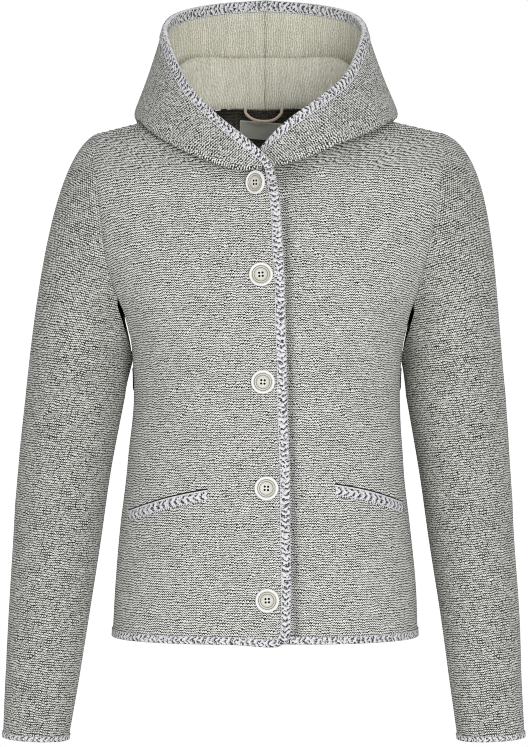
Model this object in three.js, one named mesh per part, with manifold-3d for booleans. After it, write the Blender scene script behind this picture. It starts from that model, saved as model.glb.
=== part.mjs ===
// A hooded trachten cardigan in milled knit, filled out as if worn, with open neck, hem and cuffs.
// Millimetres, +Z up, the front faces -Y, +X is the wearer's left.
// The origin is the middle of the neck opening, level with the high shoulder points.
import * as THREE from 'three';
import Module from 'manifold-3d';
import { mergeVertices } from 'three/addons/utils/BufferGeometryUtils.js';

const wasm = await Module();
wasm.setup();

// ---------------------------------------------------------------- driving sizes
const CLOTH = 2.0; // milled knit wall
const SEAM = 0.3; // air between two pieces
const HALF_SEAM = 0.25; // each panel's share of a seam's air
const LAYER = 0.15; // hood cloth and lining stand this far off the sheet between them
const BRAID = 1.1; // knitted braid, folded over an edge
const BRAID_FACE = 9.6; // how much of the braid shows on one face
const HOOD_FACE = 11;
const HEM_FACE = 7.5;
const CUFF_FACE = 5;
const LAP_RIGHT = 24; // the right front runs this far past the centre
const LAP_LEFT = 26; // the left front runs this far past the centre, underneath
const LAP_DEPTH = 5.6; // the left front lies this far behind the right one
const NECK_TUCK = 10; // and this much further at the neck, to clear the right half of the hood
const LAP_BLEND = [10, 62]; // across this stretch the left front comes back up to the right one's depth
const NECK_CORNER = 11; // the left neckline starts this much further under the right front
const EDGE_CORNER = 14; // radius of the fronts' lower corners
const NECK_HALF = 88; // centre to high shoulder point
const UNDERARM = 5; // torso level of the underarm
const NECK_FRONT = 10; // torso level where the front neckline starts
const NECK_BACK = 11; // torso level where the back neckline starts
const SHOULDER = 12; // torso level of the shoulder seam
const HEM_DIP = 2.6; // how far the right front's lower edge hangs near its free edge
const HOLE_RADIUS = 1.0; // button holes
const HOLE_SPACING = 1.9; // from the button's middle, both ways
const WELT_HEIGHT = 12; // the braid strip at a pocket's mouth
const POCKET_FLOOR = -528; // height of the bottom of the pocket patches
const PATCH = 1.2; // wall of a pocket patch
const LOOP = { left: -21, right: 18.5, top: 10, bottom: -5, y: 55, radius: 1.6 };
const LABEL = { left: -27, right: 23, top: -1, bottom: -20, slope: -0.085, thick: 0.7 };
const FULLNESS = 2.4; // exponent of the torso's sections: 2 is an ellipse, more is squarer
const BUTTON_RADIUS = 12.3;

// ---------------------------------------------------------------- tables
// Rows of numbers under named columns.
const named = (columns, rows) => rows.map(
  (row) => Object.fromEntries(columns.map((key, k) => [key, row[k]])),
);

// Torso levels from the hem to the shoulder seam. frontZ, backZ, frontY, backY: height and depth on the
// centre line. right, left: half-widths at the side seam or armhole. endZ, endFront, endBack: where the front
// and the back end there. sweep: degrees of the quarter arc that the section runs through. edge: how far the
// right front's edge stands past the centre.
const TORSO = named(
  ['frontZ', 'backZ', 'frontY', 'backY', 'right', 'left', 'endZ', 'endFront', 'endBack', 'sweep', 'edge'],
  [
    [-553, -553, -112, 99, 161, 162, -553, 4, 4, 90, 24.8],
    [-500, -500, -116, 101, 158, 160, -500, 4, 4, 90, 26],
    [-440, -440, -118, 97, 153, 154, -440, 4, 4, 90, 24.9],
    [-380, -380, -116, 90, 145.5, 147, -380, 4, 4, 90, 24.6],
    [-320, -320, -114, 86, 139.5, 143.5, -320, 3, 3, 90, 22.4],
    [-262, -262, -120, 92, 140, 145, -262, 2, 2, 90, 21.4],
    [-228, -228, -124, 98, 147, 152, -228, -29, 32, 80, 20],
    [-190, -190, -124, 104, 158, 162, -190, -47, 49, 70, 19.5],
    [-150, -150, -118, 106, 167, 171, -150, -56, 58, 64, 17.2],
    [-108, -108, -107, 102, 172, 180, -108, -58, 59, 60, 15.2],
    [-68, -55, -93, 90, 178, 186, -68, -48, 50, 58, 10],
    [-30, 10, -62, 66, 181, 189, -36.5, -22, 28, 56, 9.5],
    [15, 15, 5, 6, 176, 188, -21, 5, 6, 56, 9.5],
  ],
);
const HEM_STEP = 53; // height between the two lowest levels

// Torso rows: the levels that get a row of facets. The second one is the hem braid's upper edge.
const ROW_LEVELS = [0, HEM_FACE / HEM_STEP, 1, 2, 3, 4, 5, 6, 7, 8, 9, 10, 10.5, 11, 11.33, 11.67, 12];

// Sleeve rings from the biceps to the cuff, one table a side. outer, inner: distance from the centre.
// y: middle of the ring, depth: front to back, drop: how much lower the inner side is.
const SLEEVE_COLUMNS = ['z', 'outer', 'inner', 'y', 'depth', 'drop'];
const SLEEVES = {
  right: named(SLEEVE_COLUMNS, [
    [-300, 253.5, 148, 4, 116, 0],
    [-380, 261.5, 163, 0, 108, 0],
    [-455, 266, 173.5, -6, 97, 0],
    [-530, 270, 185, -13, 86, 1],
    [-600, 273, 196, -20, 76, 2],
    [-657.3, 274.8, 206, -26, 69, 3],
  ]),
  left: named(SLEEVE_COLUMNS, [
    [-300, 255.5, 150, 4, 116, 0],
    [-380, 260.5, 163.6, 0, 108, 0],
    [-455, 264, 174, -6, 97, 0],
    [-530, 268.7, 185.5, -13, 86, 1],
    [-600, 270.5, 194.8, -20, 76, 2],
    [-657.3, 273, 202.7, -26, 69, 3],
  ]),
};
const CUFF_STEP = 57.3; // height between the two lowest rings
const SLEEVE_LEAVE = { right: 0.155, left: 0.21 }; // how boldly the outside of each sleeve leaves the shoulder
const CAP_RINGS = 6; // facets from the armhole to the biceps
const ARM_STEPS = [0.5, 1, 1.5, 2, 3, 4]; // table positions of the rings below the biceps

// Hood stations from the centre back round to the front edge. neck: torso level of the neckline point, on
// the named panel. lift: how far the hood starts above it. ridge: the fold that rises from the neck seam.
// sag: the lowest part of the pouch or roll. rim: the bound edge. fold, bag: half-widths of the ridge and the
// sag. tuck pushes the inner wall towards the neck, belly pushes the outer wall away from it.
const HOOD_COLUMNS = ['neck', 'panel', 'lift', 'ridge', 'sag', 'rim', 'fold', 'bag', 'tuck', 'belly'];
const HOOD_BACK = named(HOOD_COLUMNS, [
  [11, 'back', 0.8, [0, 80, 72], [0, 134, -132], [0, 92, 129.5], 7, 9, 8, 14],
  [11.33, 'back', 0.8, [40, 76, 71], [62, 126, -122], [54, 82, 124], 7, 9, 7, 13],
  [11.67, 'back', 0.8, [75, 56, 68], [110, 102, -76], [89.5, 55, 112.5], 7, 9, 4, 10],
  [11.85, 'back', 0.8, [90, 34, 52], [134, 52, -13.5], [104, 24, 97], 6, 8, 2, 2],
]);
// The left half passes behind the right half at the front, and its roll lies higher.
const HOOD_FRONT = {
  right: named(HOOD_COLUMNS, [
    [12, 'front', 1.6, [96, 6, 30], [134, 2, -8], [104, -2, 79], 6, 7, 1, -5],
    [11.5, 'front', 3, [87, -32, 8], [112, -52, -29], [84, -44, 32], 4, 6, 0, 3],
    [11, 'front', 3, [60, -65, -17], [74, -90, -51], [54, -74, -6], 3, 5, 0, 2],
    [10.5, 'front', 3, [26, -83, -47], [28, -101, -67], [19, -96, -36], 2.5, 4, 0, 0],
    [10, 'front', 1.5, [-9, -94.5, -63.5], [-8, -97, -62.5], [-3.5, -98, -57], 0.3, 0.3, 0, 0],
  ]),
  left: named(HOOD_COLUMNS, [
    [12, 'front', 1.6, [96, 6, 30], [138, 2, -7], [104, -2, 79], 6, 7, 1, -2],
    [11.5, 'front', 3, [87, -32, 10], [113, -50, -23], [85, -42, 36], 4, 6, 0, 3],
    [11, 'front', 3, [62, -63, -15], [77, -87, -39], [54, -72, 6], 3, 5, 0, 2],
    [10.5, 'front', 3, [18, -75, -46], [24, -94, -60], [19, -86, -21], 2, 3, 0, 0],
    [10, 'front', 3, [-25, -75, -62], [-19, -77.5, -61.5], [-11, -79.5, -54], 0.3, 0.3, 0, 0],
  ]),
};
const HOOD_STEPS = [0, 0.15, 0.27, 0.38, 0.5, 0.61, 0.72, 0.85]; // facets along a profile, before the braid

// Buttons from the top: distance of the centre from the centre line, and height. The top one hangs upright
// on its thread, turned about the upright by its yaw.
const BUTTONS = [
  { x: -8.5, z: -84.6, yaw: -39 },
  { x: -3.8, z: -176.6 },
  { x: -1.8, z: -285.2 },
  { x: 1.7, z: -394 },
  { x: 2.6, z: -508 },
];

// Pocket welts: ends near the centre and near the side, as distances from the centre and heights.
const POCKETS = {
  right: { near: [58.5, -395.7], far: [142, -420.2], curve: 3 },
  left: { near: [72, -390.6], far: [144, -411.5], curve: 3 },
};

// ---------------------------------------------------------------- small maths
const lerp = (a, b, t) => a + (b - a) * t;
const clamp01 = (t) => Math.min(1, Math.max(0, t));
const radians = (degrees) => (degrees * Math.PI) / 180;
const vec = (x, y, z) => new THREE.Vector3(x, y, z);
const moved = (point, direction, distance) => point.clone().addScaledVector(direction, distance);

function smoothStep(from, to, value) {
  const t = clamp01((value - from) / (to - from));
  return t * t * (3 - 2 * t);
}

function catmull(p0, p1, p2, p3, t) {
  const a = 2 * p1;
  const b = p2 - p0;
  const c = 2 * p0 - 5 * p1 + 4 * p2 - p3;
  const d = 3 * p1 - p0 - 3 * p2 + p3;
  return 0.5 * (a + b * t + c * t * t + d * t * t * t);
}

// Smooth value of one table column between its rows; value() reads the column from a row.
function column(rows, value, position) {
  const last = rows.length - 1;
  const at = Math.min(Math.max(position, 0), last);
  const i = Math.min(Math.floor(at), last - 1);
  const here = value(rows[i]);
  const next = value(rows[i + 1]);
  const before = i > 0 ? value(rows[i - 1]) : 2 * here - next;
  const after = i < last - 1 ? value(rows[i + 2]) : 2 * next - here;
  return catmull(before, here, next, after, at - i);
}

// Point on a clamped uniform cubic B-spline.
function splinePoint(controls, t) {
  const spans = controls.length - 3;
  const at = Math.min(t * spans, spans - 1e-9);
  const k = Math.floor(at) + 3;
  const knot = (i) => Math.min(Math.max(i - 3, 0), spans);
  const d = [0, 1, 2, 3].map((j) => controls[k - 3 + j].clone());
  for (let r = 1; r <= 3; r += 1) {
    for (let j = 3; j >= r; j -= 1) {
      const low = knot(k - 3 + j);
      const high = knot(j + 1 + k - r);
      const a = high > low ? (at - low) / (high - low) : 0;
      d[j].lerpVectors(d[j - 1], d[j], a);
    }
  }
  return d[3];
}

// ---------------------------------------------------------------- sheets
// A sheet is a grid of points and the outward normal at each of them.
function gridSheet(points, outwardHint, ring = false) {
  const rows = points.length;
  const cols = points[0].length;
  const wrap = (i) => (ring ? (i + cols) % cols : Math.min(Math.max(i, 0), cols - 1));
  const normals = points.map((row, j) => row.map((point, i) => {
    const along = points[j][wrap(i + 1)].clone().sub(points[j][wrap(i - 1)]);
    const up = points[Math.min(j + 1, rows - 1)][i].clone().sub(points[Math.max(j - 1, 0)][i]);
    return along.cross(up).normalize();
  }));
  const flip = normals[outwardHint.row][outwardHint.col].dot(outwardHint.direction) < 0 ? -1 : 1;
  normals.forEach((row) => row.forEach((normal) => normal.multiplyScalar(flip)));
  return { points, normals, ring, flip };
}

// A closed wall from quads: the face at `out` along the normals, the face at `inn`, and the rim that joins
// them round every open edge.
function wallGeometry(points, normals, quads, out, inn) {
  const positions = [];
  points.forEach((point, k) => positions.push(...moved(point, normals[k], out).toArray()));
  points.forEach((point, k) => positions.push(...moved(point, normals[k], inn).toArray()));
  const count = points.length;
  const index = [];
  const edges = new Map();
  quads.forEach((quad) => {
    const across = (from, to) => points[quad[from]].distanceTo(points[quad[to]]);
    const shortFirst = across(0, 2) <= across(1, 3);
    const [a, b, c, d] = shortFirst ? quad : [...quad.slice(1), quad[0]];
    index.push(a, b, c, a, c, d);
    index.push(count + a, count + c, count + b, count + a, count + d, count + c);
    [[a, b], [b, c], [c, d], [d, a]].forEach(([from, to]) => {
      if (!edges.delete(`${to}_${from}`)) edges.set(`${from}_${to}`, [from, to]);
    });
  });
  edges.forEach(([from, to]) => {
    index.push(to, from, count + from, to, count + from, count + to);
  });
  const geometry = new THREE.BufferGeometry();
  geometry.setAttribute('position', new THREE.Float32BufferAttribute(positions, 3));
  geometry.setIndex(index);
  return geometry;
}

function sheetWall(sheet, out, inn) {
  const rows = sheet.points.length;
  const cols = sheet.points[0].length;
  const quads = [];
  const lastCol = sheet.ring ? cols : cols - 1;
  for (let j = 0; j < rows - 1; j += 1) {
    for (let i = 0; i < lastCol; i += 1) {
      const next = (i + 1) % cols;
      const quad = [j * cols + i, j * cols + next, (j + 1) * cols + next, (j + 1) * cols + i];
      quads.push(sheet.flip > 0 ? quad : quad.reverse());
    }
  }
  return wallGeometry(sheet.points.flat(), sheet.normals.flat(), quads, out, inn);
}

const FACE_SLOTS = [0, 4, 5, 9]; // a braid station's points away from the edge

// Whether the cloth between two stations is split from this face point to the next edge point.
const faceFirst = (here, next) => here.base.face.distanceTo(next.base.edge)
  <= here.base.edge.distanceTo(next.base.face);

// A band swept through stations, each a closed loop of points; `ring` joins the last station to the first.
function sweptBand(loops, ring = false) {
  const size = loops[0].length;
  const positions = loops.flat().flatMap((point) => point.toArray());
  const index = [];
  const spans = ring ? loops.length : loops.length - 1;
  for (let j = 0; j < spans; j += 1) {
    const here = j * size;
    const next = ((j + 1) % loops.length) * size;
    for (let k = 0; k < size; k += 1) {
      const other = (k + 1) % size;
      const [a, b, c, d] = [here + k, here + other, next + other, next + k];
      const straight = FACE_SLOTS.includes(k) === faceFirst(loops[j], loops[(j + 1) % loops.length]);
      if (straight) index.push(a, b, c, a, c, d);
      else index.push(b, c, d, b, d, a);
    }
  }
  if (!ring) {
    const last = (loops.length - 1) * size;
    for (let k = 0; k < size / 2 - 1; k += 1) {
      const pair = [k, k + 1, size - 2 - k, size - 1 - k];
      index.push(pair[0], pair[2], pair[1], pair[0], pair[3], pair[2]);
      index.push(last + pair[0], last + pair[1], last + pair[2]);
      index.push(last + pair[0], last + pair[2], last + pair[3]);
    }
  }
  const geometry = new THREE.BufferGeometry();
  geometry.setAttribute('position', new THREE.Float32BufferAttribute(positions, 3));
  geometry.setIndex(index);
  return outwardFacing(geometry);
}

function outwardFacing(geometry) {
  const p = geometry.getAttribute('position');
  const index = geometry.getIndex();
  const corner = [0, 1, 2].map(() => new THREE.Vector3());
  let volume = 0;
  for (let f = 0; f < index.count; f += 3) {
    corner.forEach((v, k) => v.fromBufferAttribute(p, index.getX(f + k)));
    volume += corner[0].dot(corner[1].clone().cross(corner[2]));
  }
  if (volume < 0) {
    const turned = Array.from(index.array);
    for (let f = 0; f < turned.length; f += 3) {
      [turned[f + 1], turned[f + 2]] = [turned[f + 2], turned[f + 1]];
    }
    geometry.setIndex(turned);
  }
  return geometry;
}

// One station of a braid folded over an edge. edge and face are the cloth's points at the edge and where
// the braid ends on its face; the cloth lies between `front` and `back` along the normals.
function braidStation(edge, face, edgeNormal, faceNormal, front, back) {
  const away = edge.clone().sub(face).normalize();
  const near = SEAM;
  const far = SEAM + BRAID;
  const at = (point, normal, height, out) => moved(moved(point, normal, height), away, out);
  const middle = (front + back) / 2;
  const loop = [
    at(face, faceNormal, front + far, 0),
    at(edge, edgeNormal, front + far, near),
    at(edge, edgeNormal, middle, far + 0.4),
    at(edge, edgeNormal, back - far, near),
    at(face, faceNormal, back - far, 0),
    at(face, faceNormal, back - near, 0),
    at(edge, edgeNormal, back - near, near),
    at(edge, edgeNormal, middle, near),
    at(edge, edgeNormal, front + near, near),
    at(face, faceNormal, front + near, 0),
  ];
  loop.base = { edge, face };
  return loop;
}

// ---------------------------------------------------------------- torso surface
const neckFrontX = (level) => {
  const start = -TORSO[NECK_FRONT].edge;
  const turn = radians(90) * clamp01((level - NECK_FRONT) / (SHOULDER - NECK_FRONT));
  return lerp(start, NECK_HALF, Math.sin(turn));
};
const neckBackX = (level) => NECK_HALF * Math.sin(radians(90) * clamp01(level - NECK_BACK));

// Point of the front (face 'front') or back at a level, `x` from the centre towards the named side.
function torsoPoint(side, face, level, x) {
  const isFront = face === 'front';
  const read = (key) => column(TORSO, (row) => row[key], level);
  const width = read(side);
  const middleY = read(isFront ? 'frontY' : 'backY');
  const middleZ = read(isFront ? 'frontZ' : 'backZ');
  const endY = read(isFront ? 'endFront' : 'endBack');
  const reach = Math.sin(radians(read('sweep')));
  const ratio = Math.min(x / width, 1);
  const rise = (across) => (1 - Math.abs(across) ** FULLNESS) ** (1 / FULLNESS);
  const fall = (1 - rise(ratio * reach)) / (1 - rise(reach));
  const y = lerp(middleY, endY, fall) + (isFront ? -HALF_SEAM : HALF_SEAM);
  const z = lerp(middleZ, read('endZ'), Math.abs(ratio) ** 1.3);
  const sign = side === 'right' ? -1 : 1;
  return vec(sign * x, y, z);
}

// How far the left front steps back under the right one.
function lapDepth(level, x) {
  const deep = LAP_DEPTH + NECK_TUCK * smoothStep(NECK_FRONT - 1, NECK_FRONT, level);
  return deep * (1 - smoothStep(...LAP_BLEND, x));
}

function frontStart(side, level) {
  if (level > NECK_FRONT) {
    const x = neckFrontX(level);
    const under = (LAP_LEFT - LAP_RIGHT + NECK_CORNER) * (1 - clamp01(level - NECK_FRONT));
    return side === 'right' ? x : x - under;
  }
  const edge = column(TORSO, (row) => row.edge, level);
  return side === 'right' ? -edge : -LAP_LEFT + (LAP_RIGHT - edge) * 0.3;
}

// How far the right front's lower edge hangs below the hem, most of it near the free edge.
const hemDip = (level, x) => HEM_DIP * (1 - smoothStep(0, 1, level)) * Math.exp(-(((x + 6) / 24) ** 2));

const FRONT_COLUMNS = [0, 'braid', 0.22, 0.4, 0.56, 0.7, 0.82, 0.92, 1];

// How far the four points at a front's lower corner move in and up, so that the corner is round.
function cornerShift(i, j) {
  if (i > 1 || j > 1) return [0, 0];
  const arc = (along) => EDGE_CORNER - Math.sqrt(EDGE_CORNER ** 2 - (EDGE_CORNER - along) ** 2);
  const diagonal = (radius) => EDGE_CORNER - radius * Math.SQRT1_2;
  const inside = diagonal(EDGE_CORNER - BRAID_FACE);
  if (i === 1 && j === 1) return [inside - BRAID_FACE, inside - HEM_FACE];
  if (i === 1) return [0, arc(BRAID_FACE)];
  if (j === 1) return [arc(HEM_FACE), 0];
  return [diagonal(EDGE_CORNER), diagonal(EDGE_CORNER)];
}

function frontPoints(side) {
  return ROW_LEVELS.map((level, j) => {
    const start = frontStart(side, level);
    const width = column(TORSO, (row) => row[side], level);
    const sweep = radians(column(TORSO, (row) => row.sweep, level));
    const startTurn = Math.asin((start / width) * Math.sin(sweep));
    return FRONT_COLUMNS.map((share, i) => {
      const turn = lerp(startTurn, sweep, share === 'braid' ? 0 : share);
      let x = (width * Math.sin(turn)) / Math.sin(sweep);
      if (share === 'braid') x = start + BRAID_FACE;
      const point = torsoPoint(side, 'front', level, x);
      if (side === 'left') point.y += lapDepth(level, x);
      else point.z -= hemDip(level, x);
      const shift = cornerShift(i, j);
      return point.add(vec(side === 'right' ? -shift[0] : shift[0], 0, shift[1]));
    });
  });
}

// The seams at the side and shoulder share one wall direction with the panel behind.
function squareSeams(sheet, isSeam) {
  sheet.normals.forEach((row, j) => row.forEach((normal, i) => {
    if (isSeam(j, i)) {
      normal.y = 0;
      normal.normalize();
    }
  }));
}

const TOP_ROW = ROW_LEVELS.length - 1;
const UNDERARM_ROW = ROW_LEVELS.indexOf(UNDERARM);

function frontSheet(side) {
  const sheet = gridSheet(frontPoints(side), { row: 3, col: 2, direction: vec(0, -1, 0) });
  const lastCol = FRONT_COLUMNS.length - 1;
  squareSeams(sheet, (j, i) => j === TOP_ROW || (i === lastCol && j <= UNDERARM_ROW));
  return sheet;
}

const BACK_SHARES = [0, 0.2, 0.38, 0.55, 0.72, 0.87, 1];

function backHalf(side) {
  const points = ROW_LEVELS.map((level) => {
    const start = neckBackX(level);
    const width = column(TORSO, (row) => row[side], level);
    const sweep = radians(column(TORSO, (row) => row.sweep, level));
    const startTurn = Math.asin((start / width) * Math.sin(sweep));
    return BACK_SHARES.map((share) => {
      const turn = lerp(startTurn, sweep, share);
      return torsoPoint(side, 'back', level, (width * Math.sin(turn)) / Math.sin(sweep));
    });
  });
  const sheet = gridSheet(points, { row: 3, col: 2, direction: vec(0, 1, 0) });
  const lastCol = BACK_SHARES.length - 1;
  squareSeams(sheet, (j, i) => j === TOP_ROW || (i === lastCol && j <= UNDERARM_ROW));
  sheet.normals.forEach((row, j) => {
    if (ROW_LEVELS[j] <= NECK_BACK) row[0].setX(0).normalize();
  });
  return sheet;
}

const sheets = {
  frontRight: frontSheet('right'),
  frontLeft: frontSheet('left'),
  backRight: backHalf('right'),
  backLeft: backHalf('left'),
};

// The back is one piece: two half grids that share the centre column up to the neckline.
function backGeometry() {
  const points = [];
  const normals = [];
  const quads = [];
  const shared = new Map();
  [sheets.backRight, sheets.backLeft].forEach((sheet, half) => {
    const names = sheet.points.map((row, j) => row.map((point, i) => {
      const key = i === 0 && ROW_LEVELS[j] <= NECK_BACK ? `centre${j}` : `${half}_${j}_${i}`;
      if (!shared.has(key)) {
        shared.set(key, points.length);
        points.push(point);
        normals.push(sheet.normals[j][i]);
      }
      return shared.get(key);
    }));
    for (let j = 0; j < names.length - 1; j += 1) {
      for (let i = 0; i < names[0].length - 1; i += 1) {
        const quad = [names[j][i], names[j][i + 1], names[j + 1][i + 1], names[j + 1][i]];
        quads.push(sheet.flip > 0 ? quad : quad.reverse());
      }
    }
  });
  return wallGeometry(points, normals, quads, 0, -CLOTH);
}

// ---------------------------------------------------------------- sleeves
// The armhole ring of a side: up the front from the underarm, over the shoulder, down the back.
function armholeRing(side) {
  const front = side === 'right' ? sheets.frontRight : sheets.frontLeft;
  const back = side === 'right' ? sheets.backRight : sheets.backLeft;
  const frontCol = FRONT_COLUMNS.length - 1;
  const backCol = BACK_SHARES.length - 1;
  const ring = [];
  for (let j = UNDERARM_ROW; j <= TOP_ROW; j += 1) {
    ring.push({ point: front.points[j][frontCol].clone(), normal: front.normals[j][frontCol] });
  }
  for (let j = TOP_ROW - 1; j > UNDERARM_ROW; j -= 1) {
    ring.push({ point: back.points[j][backCol].clone(), normal: back.normals[j][backCol] });
  }
  [0, TOP_ROW - UNDERARM_ROW].forEach((k) => {
    ring[k].point.y += HALF_SEAM;
  });
  return ring;
}

function sleeveRingPoint(side, position, turn) {
  const rows = SLEEVES[side];
  const read = (key) => column(rows, (row) => row[key], position);
  const outer = read('outer');
  const inner = read('inner');
  const across = Math.cos(turn);
  const x = (outer + inner) / 2 + ((outer - inner) / 2) * across;
  const y = read('y') - (read('depth') / 2) * Math.sin(turn);
  const z = read('z') - (read('drop') * (1 - across)) / 2;
  return vec((side === 'right' ? -1 : 1) * x, y, z);
}

function sleeveSheet(side) {
  const sign = side === 'right' ? -1 : 1;
  const ring = armholeRing(side);
  const count = ring.length;
  const turns = ring.map((_, k) => Math.PI - (2 * Math.PI * k) / count);
  const rows = [];
  const paths = ring.map(({ point }, k) => {
    const up = (1 + Math.cos(turns[k])) / 2;
    const leave = vec(sign * (0.25 + 0.7 * up), 0, -(0.97 - 0.66 * up)).normalize();
    const start = moved(point, leave, 2 * HALF_SEAM);
    const end = sleeveRingPoint(side, 0, turns[k]);
    const span = start.distanceTo(end);
    const arrive = vec(-sign * 0.1, 0, 1).normalize();
    return new THREE.CubicBezierCurve3(
      start,
      moved(start, leave, span * lerp(0.3, SLEEVE_LEAVE[side], up)),
      moved(end, arrive, span * lerp(0.3, 0.46, up)),
      end,
    );
  });
  for (let r = 0; r <= CAP_RINGS; r += 1) {
    rows.push(paths.map((path) => path.getPoint(r / CAP_RINGS)));
  }
  ARM_STEPS.forEach((position) => {
    rows.push(turns.map((turn) => sleeveRingPoint(side, position, turn)));
  });
  const last = SLEEVES[side].length - 1;
  const cuffEdge = last - CUFF_FACE / CUFF_STEP;
  rows.push(turns.map((turn) => sleeveRingPoint(side, cuffEdge, turn)));
  rows.push(turns.map((turn) => sleeveRingPoint(side, last, turn)));
  const hint = { row: rows.length - 3, col: 0, direction: vec(-sign, 0, 0) };
  const sheet = gridSheet(rows, hint, true);
  sheet.normals[0].forEach((normal, k) => {
    const agree = smoothStep(0.3, 0.8, normal.dot(ring[k].normal));
    normal.lerp(ring[k].normal, agree).normalize();
  });
  return sheet;
}

sheets.sleeveRight = sleeveSheet('right');
sheets.sleeveLeft = sleeveSheet('left');

// ---------------------------------------------------------------- hood
function hoodNeckPoint(side, row) {
  const level = row.neck;
  if (row.panel === 'back') return torsoPoint(side, 'back', level, neckBackX(level));
  const point = torsoPoint(side, 'front', level, frontStart(side, level));
  if (side === 'left') point.y += lapDepth(level, frontStart(side, level));
  return point;
}

function hoodStation(side, row) {
  const sign = side === 'right' ? -1 : 1;
  const neck = hoodNeckPoint(side, row);
  const place = ([x, y, z]) => vec(sign * x, y, z);
  const ridge = place(row.ridge);
  const sag = place(row.sag);
  const rim = place(row.rim);
  const out = vec(neck.x, neck.y, 0).normalize();
  const inner = moved(ridge.clone().lerp(sag, 0.5), out, -row.tuck);
  const outer = moved(sag.clone().lerp(rim, 0.45), out, row.belly);
  const base = neck.clone().add(vec(0, 0, row.lift));
  return [
    base,
    moved(ridge, out, -row.fold),
    moved(ridge, out, row.fold),
    inner,
    moved(sag, out, -row.bag),
    moved(sag, out, row.bag),
    outer,
    rim,
  ];
}

function hoodSheet(side) {
  const rows = [...HOOD_BACK, ...HOOD_FRONT[side]];
  const stations = rows.map((row) => hoodStation(side, row));
  const positions = Array.from({ length: 2 * rows.length - 1 }, (_, k) => k / 2);
  const profiles = positions.map((at) => {
    const controls = stations[0].map((_, c) => vec(
      column(stations, (points) => points[c].x, at),
      column(stations, (points) => points[c].y, at),
      column(stations, (points) => points[c].z, at),
    ));
    const rimPoint = splinePoint(controls, 1);
    const reach = (t) => splinePoint(controls, t).distanceTo(rimPoint);
    let low = HOOD_STEPS[HOOD_STEPS.length - 1];
    let high = 1;
    const face = Math.min(HOOD_FACE, reach(low) * 0.8);
    for (let n = 0; n < 30; n += 1) {
      const middle = (low + high) / 2;
      if (reach(middle) > face) low = middle;
      else high = middle;
    }
    const line = [...HOOD_STEPS, low, 1].map((t) => splinePoint(controls, t));
    if (at === 0) line.forEach((point) => point.setX((side === 'right' ? -1 : 1) * SEAM / 2));
    return line;
  });
  const sheet = gridSheet(profiles, { row: 0, col: 7, direction: vec(0, 1, 0) });
  sheet.normals[0].forEach((normal) => normal.setX(0).normalize());
  return sheet;
}

sheets.hoodRight = hoodSheet('right');
sheets.hoodLeft = hoodSheet('left');

// ---------------------------------------------------------------- braids
const station = (sheet, edgeAt, faceAt, front = 0, back = -CLOTH) => braidStation(
  sheet.points[edgeAt[0]][edgeAt[1]],
  sheet.points[faceAt[0]][faceAt[1]],
  sheet.normals[edgeAt[0]][edgeAt[1]],
  sheet.normals[faceAt[0]][faceAt[1]],
  front,
  back,
);

function blendStations(from, to, t) {
  const loop = from.map((point, k) => point.clone().lerp(to[k], t));
  loop.base = {
    edge: from.base.edge.clone().lerp(to.base.edge, t),
    face: from.base.face.clone().lerp(to.base.face, t),
  };
  return loop;
}
// Station whose face end leans a little towards the next one, so that three can fan round a corner.
function leaningStation(here, next, lean) {
  const leant = blendStations(here, next, lean);
  const loop = here.map((point, k) => (FACE_SLOTS.includes(k) ? leant[k] : point));
  loop.base = { edge: here.base.edge, face: leant.base.face };
  return loop;
}

// The edge braid of the body: down the right front, round its corner, along the hem, and up the left front.
function bodyBraid() {
  const neckRow = ROW_LEVELS.indexOf(NECK_FRONT);
  const lastFront = FRONT_COLUMNS.length - 1;
  const lastBack = BACK_SHARES.length - 1;
  const half = (sheet, back) => {
    const edge = (j) => station(sheet, [j, 0], [j, 1]);
    const hem = (i) => station(sheet, [0, i], [1, i]);
    const seam = blendStations(hem(lastFront), station(back, [0, lastBack], [1, lastBack]), 0.5);
    const loops = [];
    for (let j = neckRow; j > 1; j -= 1) loops.push(edge(j));
    loops.push(leaningStation(edge(1), edge(2), 0.06));
    loops.push(station(sheet, [0, 0], [1, 1]));
    loops.push(leaningStation(hem(1), hem(2), 0.12));
    for (let i = 2; i < lastFront; i += 1) loops.push(hem(i));
    loops.push(seam);
    for (let i = lastBack - 1; i > 0; i -= 1) loops.push(station(back, [0, i], [1, i]));
    return loops;
  };
  const right = half(sheets.frontRight, sheets.backRight);
  const left = half(sheets.frontLeft, sheets.backLeft);
  const middle = station(sheets.backRight, [0, 0], [1, 0]);
  return sweptBand([...right, middle, ...left.reverse()]);
}

function hoodBraid() {
  const edgeCol = HOOD_STEPS.length + 1;
  const half = (sheet) => sheet.points.map((_, j) => station(
    sheet,
    [j, edgeCol],
    [j, edgeCol - 1],
    LAYER + CLOTH,
    -LAYER - CLOTH,
  ));
  const right = half(sheets.hoodRight).slice(1);
  const left = half(sheets.hoodLeft).slice(1);
  const middle = half(sheets.hoodRight)[0];
  middle.forEach((point) => point.setX(0));
  return sweptBand([...right.reverse(), middle, ...left]);
}

function cuffBraid(sheet) {
  const last = sheet.points.length - 1;
  return sweptBand(sheet.points[last].map((_, k) => station(sheet, [last, k], [last - 1, k])), true);
}

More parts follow.
